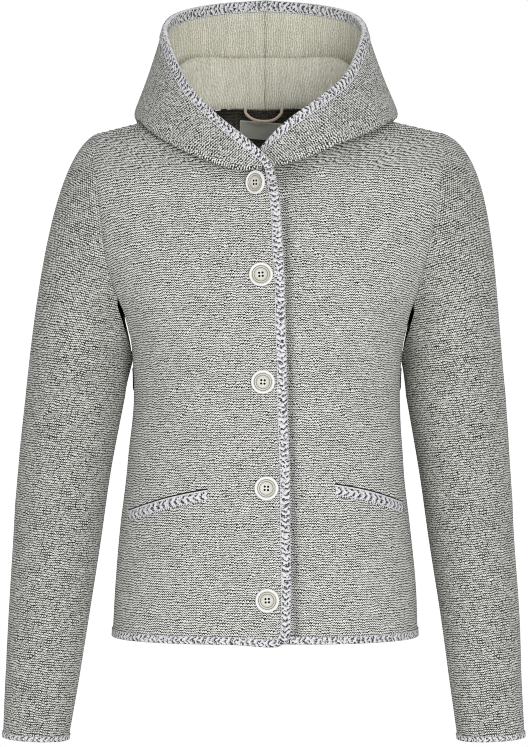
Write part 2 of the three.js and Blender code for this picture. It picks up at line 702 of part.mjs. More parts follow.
// ---------------------------------------------------------------- what lies on a panel
// Point and normal of a sheet's facets where the line through (x, z), along Y, meets them.
function onSheet(sheet, x, z) {
  const { points } = sheet;
  const triangle = new THREE.Triangle();
  const flat = new THREE.Triangle();
  const target = vec(x, 0, z);
  const weights = new THREE.Vector3();
  for (let j = 0; j < points.length - 1; j += 1) {
    for (let i = 0; i < points[0].length - 1; i += 1) {
      const corners = [points[j][i], points[j][i + 1], points[j + 1][i + 1], points[j + 1][i]];
      const split = corners[0].distanceTo(corners[2]) <= corners[1].distanceTo(corners[3])
        ? [[0, 1, 2], [0, 2, 3]]
        : [[1, 2, 3], [1, 3, 0]];
      for (const names of split) {
        triangle.set(...names.map((k) => corners[k]));
        flat.set(...names.map((k) => corners[k].clone().setY(0)));
        if (flat.getBarycoord(target, weights) && Math.min(...weights.toArray()) >= -1e-6) {
          const point = vec(0, 0, 0);
          names.forEach((k, n) => point.addScaledVector(corners[k], weights.getComponent(n)));
          const normal = triangle.getNormal(vec(0, 0, 0));
          if (normal.dot(sheet.normals[j][i]) < 0) normal.negate();
          return { point, normal };
        }
      }
    }
  }
  throw new Error(`no panel at ${x}, ${z}`);
}

// A small piece laid on a sheet: a grid of (x, z) places, and the heights of its two faces over the sheet.
function laidPiece(sheet, places, out, inn) {
  const hits = places.map((row) => row.map(([x, z]) => onSheet(sheet, x, z)));
  const points = hits.map((row) => row.map((hit) => hit.point));
  const hint = { row: 0, col: 0, direction: hits[0][0].normal };
  return sheetWall(gridSheet(points, hint), out, inn);
}

// Line of a pocket mouth: places along it, `down` below its upper edge.
function pocketPlace(side, share, down) {
  const { near, far, curve } = POCKETS[side];
  const x = lerp(near[0], far[0], share);
  const z = lerp(near[1], far[1], share) + curve * Math.sin(Math.PI * share) - down;
  return [(side === 'right' ? -1 : 1) * x, z];
}

function pocketBraid(side) {
  const shares = Array.from({ length: 13 }, (_, k) => k / 12);
  const heights = [WELT_HEIGHT, WELT_HEIGHT / 2, 0];
  const places = heights.map((down) => shares.map((share) => pocketPlace(side, share, down)));
  const sheet = side === 'right' ? sheets.frontRight : sheets.frontLeft;
  return laidPiece(sheet, places, 3 * SEAM + 2 * BRAID, 3 * SEAM);
}

// The pocket's inner patch: a plain piece against the inside of the front, from the mouth down.
function pocketPatch(side) {
  const shares = [-0.06, 0.22, 0.48, 0.74, 1];
  const depths = [1, 0.66, 0.33, 0]; // 0 is the mouth, 1 the floor
  const sheet = side === 'right' ? sheets.frontRight : sheets.frontLeft;
  const places = depths.map((depth) => shares.map((share) => {
    const [x, top] = pocketPlace(side, share, -WELT_HEIGHT / 2);
    return [x, lerp(top, POCKET_FLOOR, depth)];
  }));
  return laidPiece(sheet, places, -CLOTH - 2 * SEAM, -CLOTH - 2 * SEAM - PATCH);
}

// ---------------------------------------------------------------- buttons, loop and label
// A round button with a raised rim, a dished middle and four holes, its back at height 0.
function buttonGeometry() {
  const profile = [
    [0, 0],
    [BUTTON_RADIUS - 1, 0],
    [BUTTON_RADIUS, 1.2],
    [BUTTON_RADIUS - 0.4, 3],
    [BUTTON_RADIUS - 2.6, 3.4],
    [BUTTON_RADIUS - 4.2, 2.4],
    [0, 2.2],
  ].map(([r, h]) => new THREE.Vector2(r, h));
  const disc = new THREE.LatheGeometry(profile, 20);
  let body = toSolid(disc);
  [[1, 1], [1, -1], [-1, 1], [-1, -1]].forEach(([sx, sz]) => {
    const hole = new THREE.CylinderGeometry(HOLE_RADIUS, HOLE_RADIUS, 8, 8);
    hole.translate(sx * HOLE_SPACING, 2, sz * HOLE_SPACING);
    body = body.subtract(toSolid(hole));
  });
  const cut = body.getMesh();
  const geometry = new THREE.BufferGeometry();
  geometry.setAttribute('position', new THREE.Float32BufferAttribute(cut.vertProperties, 3));
  geometry.setIndex(Array.from(cut.triVerts));
  return geometry;
}

function toSolid(source) {
  const bare = source.clone();
  bare.deleteAttribute('normal');
  bare.deleteAttribute('uv');
  const merged = mergeVertices(bare, 1e-4);
  return new wasm.Manifold(new wasm.Mesh({
    numProp: 3,
    vertProperties: new Float32Array(merged.getAttribute('position').array),
    triVerts: new Uint32Array(merged.getIndex().array),
  }));
}

// Where a button lies: flat on the right front, or hanging upright on its thread if it has a yaw, just clear
// of the highest facet beneath it.
function buttonPlace({ x, z, yaw }) {
  const { point, normal } = onSheet(sheets.frontRight, x, z);
  let highest = 0;
  for (let k = 0; k < 16; k += 1) {
    const turn = (k * Math.PI) / 8;
    const under = onSheet(
      sheets.frontRight,
      x + BUTTON_RADIUS * Math.cos(turn),
      z + BUTTON_RADIUS * Math.sin(turn),
    );
    highest = Math.max(highest, under.point.sub(point).dot(normal));
  }
  const facing = normal.clone();
  if (yaw !== undefined) facing.setZ(0).normalize().applyAxisAngle(vec(0, 0, 1), radians(yaw));
  const lift = BUTTON_RADIUS * Math.sin(facing.angleTo(normal));
  return { position: moved(point, normal, highest + SEAM + lift), facing };
}

function loopGeometry() {
  const { left, right, top, bottom, y, radius } = LOOP;
  const path = new THREE.CatmullRomCurve3([
    vec(left, y, top),
    vec(left + 1, y - 0.5, lerp(top, bottom, 0.45)),
    vec(left * 0.55, y - 1, lerp(top, bottom, 0.88)),
    vec(0, y - 1.2, bottom),
    vec(right * 0.55, y - 1, lerp(top, bottom, 0.88)),
    vec(right - 1, y - 0.5, lerp(top, bottom, 0.45)),
    vec(right, y, top),
  ]);
  const ring = new THREE.Shape();
  for (let k = 0; k < 8; k += 1) {
    const turn = (k * Math.PI) / 4;
    if (k === 0) ring.moveTo(radius, 0);
    else ring.lineTo(radius * Math.cos(turn), radius * Math.sin(turn));
  }
  ring.closePath();
  return new THREE.ExtrudeGeometry(ring, { steps: 14, extrudePath: path, bevelEnabled: false });
}

function labelGeometry() {
  const { left, right, top, bottom, slope, thick } = LABEL;
  const columns = [left, left / 2, 0, right / 2, right];
  const heights = [bottom, (top + bottom) / 2, top];
  const places = heights.map((z) => columns.map((x) => [x, z + slope * (x - left)]));
  const across = gridSheet(
    places.map((row) => row.map(([x, z]) => onSheet(x < 0 ? sheets.backRight : sheets.backLeft, x, z).point)),
    { row: 0, col: 0, direction: vec(0, 1, 0) },
  );
  return sheetWall(across, -CLOTH - 2 * SEAM, -CLOTH - 2 * SEAM - thick);
}

// ---------------------------------------------------------------- meshes
const garment = new THREE.Group();
garment.name = 'trachten_cardigan';

const GREY_KNIT = { color: 0xa9aaa6, roughness: 0.95, metalness: 0 };
const CREAM_KNIT = { color: 0xd9d6c8, roughness: 0.95, metalness: 0 };
const BRAID_YARN = { color: 0xc9c9d0, roughness: 0.9, metalness: 0 };
const BUTTON_RESIN = { color: 0xe6e4de, roughness: 0.4, metalness: 0 };
const LOOP_TAPE = { color: 0xcfc8b8, roughness: 0.9, metalness: 0 };
const LABEL_WEAVE = { color: 0xb8bcc0, roughness: 0.8, metalness: 0 };

function addPiece(name, geometry, look) {
  const mesh = new THREE.Mesh(geometry, new THREE.MeshStandardMaterial(look));
  mesh.name = name;
  garment.add(mesh);
  return mesh;
}

addPiece('front_right', sheetWall(sheets.frontRight, 0, -CLOTH), GREY_KNIT);
addPiece('front_left', sheetWall(sheets.frontLeft, 0, -CLOTH), GREY_KNIT);
addPiece('back', backGeometry(), GREY_KNIT);
addPiece('sleeve_right', sheetWall(sheets.sleeveRight, 0, -CLOTH), GREY_KNIT);
addPiece('sleeve_left', sheetWall(sheets.sleeveLeft, 0, -CLOTH), GREY_KNIT);
addPiece('hood_outer_right', sheetWall(sheets.hoodRight, LAYER + CLOTH, LAYER), GREY_KNIT);
addPiece('hood_outer_left', sheetWall(sheets.hoodLeft, LAYER + CLOTH, LAYER), GREY_KNIT);
addPiece('hood_lining_right', sheetWall(sheets.hoodRight, -LAYER, -LAYER - CLOTH), CREAM_KNIT);
addPiece('hood_lining_left', sheetWall(sheets.hoodLeft, -LAYER, -LAYER - CLOTH), CREAM_KNIT);

addPiece('braid_body', bodyBraid(), BRAID_YARN);
addPiece('braid_hood', hoodBraid(), BRAID_YARN);
addPiece('braid_cuff_right', cuffBraid(sheets.sleeveRight), BRAID_YARN);
addPiece('braid_cuff_left', cuffBraid(sheets.sleeveLeft), BRAID_YARN);
['right', 'left'].forEach((side) => {
  addPiece(`braid_pocket_${side}`, pocketBraid(side), BRAID_YARN);
  addPiece(`pocket_patch_${side}`, pocketPatch(side), GREY_KNIT);
});

BUTTONS.forEach((place, k) => {
  const button = addPiece(`button_${k + 1}`, buttonGeometry(), BUTTON_RESIN);
  const { position, facing } = buttonPlace(place);
  button.position.copy(position);
  button.quaternion.setFromUnitVectors(vec(0, 1, 0), facing);
});

addPiece('hanging_loop', loopGeometry(), LOOP_TAPE);
addPiece('neck_label', labelGeometry(), LABEL_WEAVE);

export default garment;
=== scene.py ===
# Hooded trachten cardigan in milled knit, filled out as if worn.
from bisect import bisect_left
from functools import partial
from itertools import accumulate
from math import asin, cos, dist, exp, floor, hypot, pi, radians, sin
import bmesh
import bpy
from mathutils import Matrix, Vector


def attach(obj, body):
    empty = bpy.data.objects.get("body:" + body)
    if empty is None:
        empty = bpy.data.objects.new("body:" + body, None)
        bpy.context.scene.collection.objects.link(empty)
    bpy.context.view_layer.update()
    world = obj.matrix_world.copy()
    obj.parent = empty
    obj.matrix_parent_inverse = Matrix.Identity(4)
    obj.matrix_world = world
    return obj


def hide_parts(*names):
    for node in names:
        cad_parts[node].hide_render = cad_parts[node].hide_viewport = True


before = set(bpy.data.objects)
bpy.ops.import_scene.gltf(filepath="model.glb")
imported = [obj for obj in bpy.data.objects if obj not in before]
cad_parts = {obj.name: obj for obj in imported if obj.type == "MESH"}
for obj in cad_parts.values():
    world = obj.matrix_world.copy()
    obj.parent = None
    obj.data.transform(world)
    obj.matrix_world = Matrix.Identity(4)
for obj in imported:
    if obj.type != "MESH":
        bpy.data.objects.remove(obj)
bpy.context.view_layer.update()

mm = 0.001  # tables are in millimetres, meshes in metres
sides = {"right": -1, "left": 1}  # the sign of x on each
white = (1, 1, 1, 1)
forward = Vector((0, -1, 0))


# Small helpers for the whole scene
def lerp(a, b, share):
    return a + (b - a) * share


def spread(low, high, count):  # evenly spaced values from low to high
    return [lerp(low, high, k / count) for k in range(count + 1)]


def clamp(share):
    return min(1, max(0, share))


def smoothStep(low, high, value):
    share = clamp((value - low) / (high - low))
    return share * share * (3 - 2 * share)


def along(values, at):  # smooth value of a table's column at a position between its rows
    last = len(values) - 1
    at = min(max(at, 0), last)
    i = min(floor(at), last - 1)
    here, after = values[i], values[i + 1]
    before = values[i - 1] if i > 0 else 2 * here - after
    beyond = values[i + 2] if i < last - 1 else 2 * after - here
    t = at - i
    second = 2 * before - 5 * here + 4 * after - beyond
    third = 3 * here - before - 3 * after + beyond
    return 0.5 * (2 * here + (after - before) * t + second * t * t + third * t ** 3)


def alongPoints(points, at):
    return Vector([along([point[k] for point in points], at) for k in range(3)])


def linearColor(text):  # an sRGB hex value as linear RGBA
    parts = [int(text[k:k + 2], 16) / 255 for k in (1, 3, 5)]
    return [c / 12.92 if c <= 0.04045 else ((c + 0.055) / 1.055) ** 2.4 for c in parts] + [1]


def addNode(tree, kind, inputs=None, **settings):  # inputs hold numbers, sockets or nodes
    node = tree.nodes.new("ShaderNode" + kind)
    for key, value in settings.items():
        setattr(node, key, value)
    for key, value in (inputs or {}).items():
        if isinstance(value, bpy.types.Node):
            value = value.outputs[0]
        if isinstance(value, bpy.types.NodeSocket):
            tree.links.new(value, node.inputs[key])
        else:
            node.inputs[key].default_value = value
    return node


def emptyTree(owner):  # what adds nodes to a material or a world
    owner.use_nodes = True
    owner.node_tree.nodes.clear()
    return partial(addNode, owner.node_tree)


def newMaterial(name):
    material = bpy.data.materials.new(name)
    return material, emptyTree(material)


def newYarn(name):  # a material with the cloth's distances and their two parts
    material, add = newMaterial(name)
    cloth = add("UVMap", uv_map="Cloth")
    return material, add, cloth, add("SeparateXYZ", {0: cloth})


def addShader(add, finish):
    add("OutputMaterial", {"Surface": add("BsdfPrincipled", finish)})


def addCloth(add, finish, tone, dark, light, height, relief):  # two yarn colours and the bump of the cloth
    colour = add("Mix", {0: tone, 6: linearColor(dark), 7: linearColor(light)}, data_type="RGBA")
    bump = add("Bump", {"Strength": relief[0], "Distance": relief[1] * mm, "Height": height})
    addShader(add, {**finish, "Base Color": colour.outputs[2], "Normal": bump})


def addSum(add, total, *terms):  # a total plus each source times its amount
    for source, amount in terms:
        total = add("Math", {0: source, 1: amount, 2: total}, operation="MULTIPLY_ADD")
    return total


def addAway(add, value, centre):  # how far a value is from a centre
    away = add("Math", {0: value, 1: centre}, operation="SUBTRACT")
    return add("Math", {0: away}, operation="ABSOLUTE")


def addWave(add, turns):  # a cosine that comes round once a turn
    return add("Math", {0: addSum(add, 0, (turns, 2 * pi))}, operation="COSINE")


def newObject(name, data):
    made = bpy.data.objects.new(name, data)
    bpy.context.scene.collection.objects.link(made)
    return made


def newMesh(name, bm):
    mesh = bpy.data.meshes.new(name)
    bm.to_mesh(mesh)
    bm.free()
    return mesh


print("Camera, light and floor")
view = {"camera": (-0.0007, -3.0, -0.277), "lens": 136.4, "aim": (0, 0, -0.28), "floor": -1.38}

cameraData = bpy.data.cameras.new("camera")
cameraData.lens = view["lens"]
camera = newObject("camera", cameraData)
camera.location = view["camera"]
camera.rotation_euler = (radians(90), 0, 0)
scene = bpy.context.scene
scene.camera = camera
scene.view_settings.view_transform = "Standard"
scene.cycles.filter_width = 1.0  # crisp, so that fine knit keeps its grain
scene.cycles.denoising_prefilter = "NONE"

lights = [  # name, place, width in metres and watts
    ("keyLight", (0.9, -2.9, -0.15), 1.5, 44),
    ("fillLight", (-2.1, -1.7, -0.4), 1.6, 12),
    ("topLight", (0.2, 0.2, 2.0), 1.6, 6),
]
for name, at, size, watts in lights:
    data = bpy.data.lights.new(name, "AREA")
    data.size = size
    data.energy = watts
    lamp = newObject(name, data)
    lamp.location = at
    aim = Vector(view["aim"]) - lamp.location
    lamp.rotation_euler = aim.to_track_quat("-Z", "Y").to_euler()

world = bpy.data.worlds.new("studio")  # a white backdrop that lights the cloth only softly
add = emptyTree(world)
backdrop = add("Background", {"Color": white, "Strength": 1.0})
ambient = add("Background", {"Color": white, "Strength": 0.4})
both = add("MixShader", {0: add("LightPath"), 1: ambient, 2: backdrop})
add("OutputWorld", {0: both})
scene.world = world

floorMesh = bmesh.new()
bmesh.ops.create_grid(floorMesh, x_segments=1, y_segments=1, size=2.4)
bmesh.ops.translate(floorMesh, verts=floorMesh.verts, vec=(0, 0, view["floor"]))
floorPlane = newObject("floor", newMesh("floor", floorMesh))
floorPaint, add = newMaterial("paleMattPaint")
addShader(add, {"Base Color": linearColor("#F2F2F0"), "Roughness": 0.9})
floorPlane.data.materials.append(floorPaint)


print("Materials")
yarnFinish = {"Roughness": 0.85, "Sheen Weight": 0.1}


# Milled wool knit: felted after knitting, so each course is a row of small blurred chevrons, and each stitch
# shows more or less dark fibre. Matt, with a little sheen from loose fibre ends. Drawn a little coarser than
# the real 2 mm stitches, so that they show.
def milledKnit(name, light, dark, course, stitch, ridge, gap, heather, fleckle, sheen, bias=0.0):
    material, add, cloth, parts = newYarn(name)
    wobble = add("TexNoise", {"Vector": cloth, "Scale": 90, "Detail": 2})
    shift = addSum(add, -1.0, (wobble, 2.0))
    loops = addSum(add, shift, (parts, 1 / (stitch * mm)))
    chevron = addWave(add, loops)
    bent = addSum(add, shift, (parts.outputs[1], 1 / (course * mm)), (chevron, 0.16))
    knit = addWave(add, bent)
    holes = add("Math", {0: knit, 1: 0.2}, operation="ADD")
    holes = add("Math", {0: holes, 1: chevron}, operation="MULTIPLY")
    rowNumber = add("Math", {0: bent}, operation="ROUND")
    loopNumber = add("Math", {0: loops}, operation="FLOOR")
    stitchName = add("CombineXYZ", {0: rowNumber, 1: loopNumber})
    fibre = add("TexWhiteNoise", {"Vector": stitchName}, noise_dimensions="2D")
    fleck = add("TexNoise", {"Vector": cloth, "Scale": 620, "Detail": 1, "Roughness": 0.6})
    cloud = add("TexNoise", {"Vector": cloth, "Scale": 45, "Detail": 2})
    base = 0.5 + bias - (heather + fleckle + 0.3) / 2
    tone = addSum(add, base, (knit, ridge), (holes, gap), (fibre, heather), (fleck, fleckle), (cloud, 0.3))
    height = addSum(add, 0, (knit, 0.5), (fleck, 0.8))
    finish = {"Roughness": 0.92, "Sheen Weight": sheen, "Sheen Roughness": 0.5, "Specular IOR Level": 0.15}
    addCloth(add, finish, tone, dark, light, height, (0.6, 0.6))
    return material


# Knitted trimming braid in white and blue-grey yarn: small ragged chevrons between two white borders, with a
# broken line of grey stitches inside each border, and a dark dashed line on its inner wall that is partly the
# stitches that hold it down and partly painted shade where it meets the cloth.
def knittedBraid(name, repeat, wide, ragged):
    material, add, cloth, parts = newYarn(name)
    grain = add("TexNoise", {"Vector": cloth, "Scale": 560, "Detail": 1})
    clump = add("TexNoise", {"Vector": cloth, "Scale": 230, "Detail": 1})
    across = addSum(add, 0, (parts.outputs[1], 1 / (wide * mm)))
    middle = addAway(add, across, 0.5)
    run = (parts, 1 / (repeat * mm))
    phase = addSum(add, -ragged, run, (middle, 1.5), (grain, ragged * 0.95), (clump, ragged * 1.05))
    stroke = add("MapRange", {0: addWave(add, phase), "From Min": -0.32, "From Max": 0.4})
    inside = add("MapRange", {0: middle, "From Min": 0.38, "From Max": 0.33})
    dashTurn = addSum(add, 0, (parts, 2 * pi / (2.9 * mm)), (clump, 9.0))
    dash = add("Math", {0: dashTurn}, operation="COSINE")
    dash = add("MapRange", {0: dash, "From Min": -0.4, "From Max": 0.6})
    line = add("MapRange", {0: addAway(add, middle, 0.34), "From Min": 0.06, "From Max": 0.02, "To Max": 0.8})
    line = add("Math", {0: line, 1: dash}, operation="MULTIPLY")
    speck = add("MapRange", {0: grain, "From Min": 0.36, "From Max": 0.52, "To Min": 0.1})
    stray = add("MapRange", {0: grain, "From Min": 0.54, "From Max": 0.68, "To Max": 0.6})
    # partly stitches, partly painted shade: a dark dashed line on the braid's inner wall, where it meets the
    # cloth
    stitchesAndShade = add("MapRange", {0: across, "From Min": 0.9, "From Max": 0.94, "To Max": 1.6})
    stitchesAndShade = add("Math", {0: stitchesAndShade, 1: dash}, operation="MULTIPLY")
    grey = add("Math", {0: stroke, 1: inside}, operation="MULTIPLY")
    for mask, operation in ((line, "MAXIMUM"), (speck, "MULTIPLY"), (stray, "MAXIMUM"), (stitchesAndShade, "MAXIMUM")):
        grey = add("Math", {0: grey, 1: mask}, operation=operation)
    sunk = addSum(add, grain, (grey, -0.5))
    addCloth(add, yarnFinish, grey, "#EDEDF0", "#363640", sunk, (0.6, 0.5))
    return material


# Cast polyester button: horn-white with a faint cloud in it, polished on the rim and satin in the dish,
# though one roughness serves both. The rim's colour is pushed to pure white, partly the button's white and
# partly a painted highlight of its polish. Its turned rings carry dark olive lines, and the floors of its
# holes are painted shade.
def castPolyester(name):
    material, add = newMaterial(name)
    place = add("TexCoord")
    cloud = add("TexNoise", {"Vector": place.outputs["Object"], "Scale": 160, "Detail": 3})
    radius = add("SeparateXYZ", {0: add("UVMap", uv_map="Cloth")})
    rings = add("ValToRGB", {0: addSum(add, 0, (radius, 1 / (12.5 * mm)))})
    # The last stops paint the rim pure white: partly the button's own white, partly a painted highlight of
    # its polish.
    bands = [(0.0, "#F4F2EC"), (0.34, "#E4E2DA"), (0.5, "#D2D0C4"), (0.56, "#74725C"), (0.61, "#E9E7DD"),
             (0.66, "#DAD8CB"), (0.71, "#66644C"), (0.76, "#E0DED2"), (0.8, "#FFFFFF"), (1.0, "#FFFFFF")]
    while len(rings.color_ramp.elements) < len(bands):
        rings.color_ramp.elements.new(0.5)
    for element, (stop, colour) in zip(rings.color_ramp.elements, bands):
        element.position = stop
        element.color = linearColor(colour)
    mixed = add("Mix", {0: 0.12, 6: rings, 7: cloud}, data_type="RGBA", blend_type="MULTIPLY")
    addShader(add, {"Roughness": 0.34, "IOR": 1.55, "Coat Weight": 0.15, "Base Color": mixed.outputs[2]})
    return material


# Cotton yarn and tape: fine twisted or woven threads, matt. A tape has paler selvedges.
def cottonYarn(name, light, dark, pitch, edge=None):
    material, add, cloth, parts = newYarn(name)
    turns = 1 / (pitch * mm)
    wave = addWave(add, addSum(add, 0, (parts, turns), (parts.outputs[1], turns)))
    grain = add("TexNoise", {"Vector": cloth, "Scale": 900, "Detail": 2})
    tone = addSum(add, grain, (wave, 0.25))
    if edge:
        tone = addSum(add, 0, (tone, 0.5))
        for socket, size in zip(parts.outputs, edge):
            inset = addAway(add, socket, size / 2 * mm)
            border = add("MapRange", {
                0: inset, "From Min": (size / 2 - 1.6) * mm, "From Max": (size / 2 - 0.9) * mm})
            tone = add("Math", {0: tone, 1: border}, operation="MAXIMUM")
    addCloth(add, yarnFinish, tone, dark, light, tone, (0.5, 0.3))
    return material


greyKnit = milledKnit("milledKnitGrey", "#FAFAF5", "#080808", 2.6, 2.5, 0.4, 2.0, 0.5, 1.5, 0.05, 0.06)
# The sleeve knit is the body's knit painted a little darker (yarn F2F2EC and a tone of -0.02 against 0.06):
# painted shade for sleeves that turn away from the lamps.
sleevePaintedShadeKnit = milledKnit("milledKnitPaintedShadeSleeve", "#F2F2EC", "#080808", 2.5, 2.5, 0.7, 1.1, 0.5, 1.4, 0.16, -0.02)
hoodKnit = milledKnit("milledKnitHood", "#F6F6F1", "#080808", 2.3, 2.3, 0.6, 1.1, 0.5, 2.4, 0.05, 0.02)
# The reverse of the knit, on the inside of the body and sleeves and on the pocket bags, is painted dark
# brown-grey: painted shade for the hollow inside, not the yarn's own colour.
reversePaintedShadeKnit = milledKnit("milledKnitPaintedShadeReverse", "#6A675E", "#1E1C19", 3.0, 3.0, 0.2, 0.1, 0.4, 2.5, 0.0)
creamKnit = milledKnit("fineKnitCream", "#FFFFF2", "#B5AF98", 2.6, 30, 0.25, 0.0, 0.2, 1.5, 0.06)
braidYarn = knittedBraid("knittedBraid", 5.6, 10.0, 1.2)
pocketYarn = knittedBraid("knittedBraidPocket", 7.3, 12.0, 0.45)
buttonResin = castPolyester("castPolyester")
# Near-black cotton, used only as painted shade: on the floors of the button holes and in the slit of each
# pocket mouth.
paintedShadeCotton = cottonYarn("cottonPaintedShade", "#15140F", "#050504", 0.8)
loopCotton = cottonYarn("cottonCord", "#F6E2D2", "#C8AE9A", 1.4)
labelTape = cottonYarn("wovenTape", "#F4F5EC", "#B9BDB0", 1.0, (50, 19))


print("Shape tables")
# Torso levels from hem to shoulder seam: heights and depths on the centre line, half-widths, where the
# front and back end at the side, degrees of the quarter arc, and how far the right edge passes the centre.
levelZ = [-553, -500, -440, -380, -320, -262, -228, -190, -150, -108]
torso = {
    "levels": 12,
    "frontZ": levelZ + [-68, -30, 15],
    "backZ": levelZ + [-55, 10, 15],
    "frontY": [-112, -116, -118, -116, -114, -120, -124, -124, -118, -107, -93, -62, 5],
    "backY": [99, 101, 97, 90, 86, 92, 98, 104, 106, 102, 90, 66, 6],
    "right": [161, 158, 153, 145.5, 139.5, 140, 147, 158, 167, 172, 178, 181, 176],
    "left": [162, 160, 154, 147, 143.5, 145, 152, 162, 171, 180, 186, 189, 188],
    "endZ": levelZ + [-68, -36.5, -21],
    "endFront": [4, 4, 4, 4, 3, 2, -29, -47, -56, -58, -48, -22, 5],
    "endBack": [4, 4, 4, 4, 3, 2, 32, 49, 58, 59, 50, 28, 6],
    "sweep": [90, 90, 90, 90, 90, 90, 80, 70, 64, 60, 58, 56, 56],
    "edge": [24.8, 26, 24.9, 24.6, 22.4, 21.4, 20, 19.5, 17.2, 15.2, 10, 9.5, 9.5],
    "fullness": 2.4, "hemStep": 53, "neckFront": 10, "neckBack": 11, "neckHalf": 88, "neckCorner": 11,
    "lapLeft": 26, "lapRight": 24, "lapDepth": 5.6, "neckTuck": 10, "lapBlend": (10, 62),
    "corner": 15, "hemDip": 2.6, "cloth": 2.0,
}


def torsoLevel(side, face, level):  # the section's numbers at one level
    columns = {"width": side, "y": face + "Y", "z": face + "Z", "endY": "end" + face.title(), "endZ": "endZ"}
    section = {key: along(torso[column], level) for key, column in columns.items()}
    section["turn"] = radians(along(torso["sweep"], level))
    section["sign"] = sides[side]
    return section


def sectionPoint(section, x):
    power = torso["fullness"]
    reach = sin(section["turn"])
    ratio = min(x / section["width"], 1)
    rise = (1 - min(abs(ratio) * reach, 1) ** power) ** (1 / power)
    lowest = (1 - min(reach, 1) ** power) ** (1 / power)
    y = lerp(section["y"], section["endY"], (1 - rise) / (1 - lowest))
    z = lerp(section["z"], section["endZ"], abs(ratio) ** 1.3)
    return Vector((section["sign"] * x, y, z))


def torsoPoint(side, face, level, x):
    return sectionPoint(torsoLevel(side, face, level), x)


def lapBehind(level, x):  # how far the left front steps back under the right one
    tucked = smoothStep(torso["neckFront"] - 1, torso["neckFront"], level)
    deep = torso["lapDepth"] + torso["neckTuck"] * tucked
    return deep * (1 - smoothStep(*torso["lapBlend"], x))


def neckFrontX(level):
    share = clamp((level - torso["neckFront"]) / (torso["levels"] - torso["neckFront"]))
    return lerp(-torso["edge"][torso["neckFront"]], torso["neckHalf"], sin(radians(90) * share))


def neckBackX(level):
    return torso["neckHalf"] * sin(radians(90) * clamp(level - torso["neckBack"]))


def frontStart(side, level):  # where a front begins, from the centre towards its own side
    if level > torso["neckFront"]:
        x = neckFrontX(level)
        under = torso["lapLeft"] - torso["lapRight"] + torso["neckCorner"]
        return x if side == "right" else x - under * (1 - min(1, level - torso["neckFront"]))
    edge = along(torso["edge"], level)
    return -edge if side == "right" else -torso["lapLeft"] + (torso["lapRight"] - edge) * 0.3


def layOver(point, side, face, level, x):  # the left front steps back, and the right one dips at the hem
    if face == "front" and side == "left":
        point.y += lapBehind(level, x)
    elif face == "front":
        point.z -= torso["hemDip"] * (1 - smoothStep(0, 1, level)) * exp(-((x + 6) / 24) ** 2)
    return point


def panelPoint(side, face, level, x):
    return layOver(torsoPoint(side, face, level, x), side, face, level, x)


# Creases that wear leaves: from x and z, to x and z, depth (a trough if over 0, or else a ridge) and width.
# They fade towards their far end, unless a last value says that they are even.
creases = {
    "front": [
        (-158, -196, -118, -262, 3.0, 13), (-152, -150, -96, -214, -1.8, 22),
        (-136, -296, -92, -338, 1.6, 15), (-142, -330, -112, -420, -1.2, 17),
        (-46, -404, -52, -508, 1.3, 14), (-84, -430, -90, -548, -1.2, 22),
        (160, -196, 124, -256, 2.6, 13), (150, -142, 104, -206, -1.8, 24),
        (134, -300, 84, -330, 1.5, 14), (140, -336, 118, -408, -1.1, 17),
        (62, -398, 56, -500, 1.2, 15), (112, -440, 104, -552, -1.3, 24),
    ],
    "underLap": [(29, -560, 17, -100, 6, 6.5, True)],
    "hoodLeft": [
        (18, -44, 36, -40.5, 1.8, 3.2, True), (36, -40.5, 69, -36, 1.8, 3.2, True),
    ],
    "back": [
        (-60, -250, 62, -262, 2.2, 16), (-92, -286, 40, -300, -1.6, 18),
        (-154, -190, -110, -250, 2.4, 15), (156, -184, 106, -254, 2.4, 16),
        (30, -318, 118, -304, 1.6, 14), (-30, -420, -38, -548, -1.6, 26),
        (74, -410, 82, -550, 1.4, 24),
    ],
    "sleeveFront": [
        (-176, -236, -226, -262, 3.0, 11), (-170, -270, -214, -304, 2.2, 11),
        (-196, -352, -252, -372, 2.4, 12), (-184, -392, -244, -402, 2.0, 11),
        (-206, -440, -262, -418, -1.5, 14), (-204, -560, -262, -584, 1.5, 12),
        (178, -230, 232, -256, 2.8, 11), (172, -276, 210, -312, 2.2, 11),
        (190, -344, 250, -366, 2.2, 12), (186, -400, 236, -392, 1.8, 11),
        (204, -430, 258, -412, -1.5, 14), (200, -566, 258, -590, 1.4, 12),
    ],
    "sleeveBack": [
        (-178, -240, -232, -284, 2.6, 12), (-190, -360, -254, -384, 3.0, 12),
        (-186, -404, -256, -400, 2.4, 11), (-198, -440, -258, -428, 1.8, 12),
        (180, -236, 234, -280, 2.6, 12), (192, -352, 252, -378, 2.8, 12),
        (186, -398, 254, -392, 2.4, 11), (200, -452, 256, -436, 1.6, 12),
    ],
}


def creaseDepth(x, z, lines):
    total = 0
    for ax, az, bx, bz, depth, wide, *even in lines:
        length = hypot(bx - ax, bz - az)
        nearest = clamp(((x - ax) * (bx - ax) + (z - az) * (bz - az)) / length ** 2)
        away = hypot(x - lerp(ax, bx, nearest), z - lerp(az, bz, nearest)) / wide
        if away < 3:
            taper = smoothStep(-0.15, 0.35, nearest) * (1 - 0.75 * smoothStep(0.45, 1.1, nearest))
            total += depth * (1 if even else taper) * exp(-away * away)
    return total


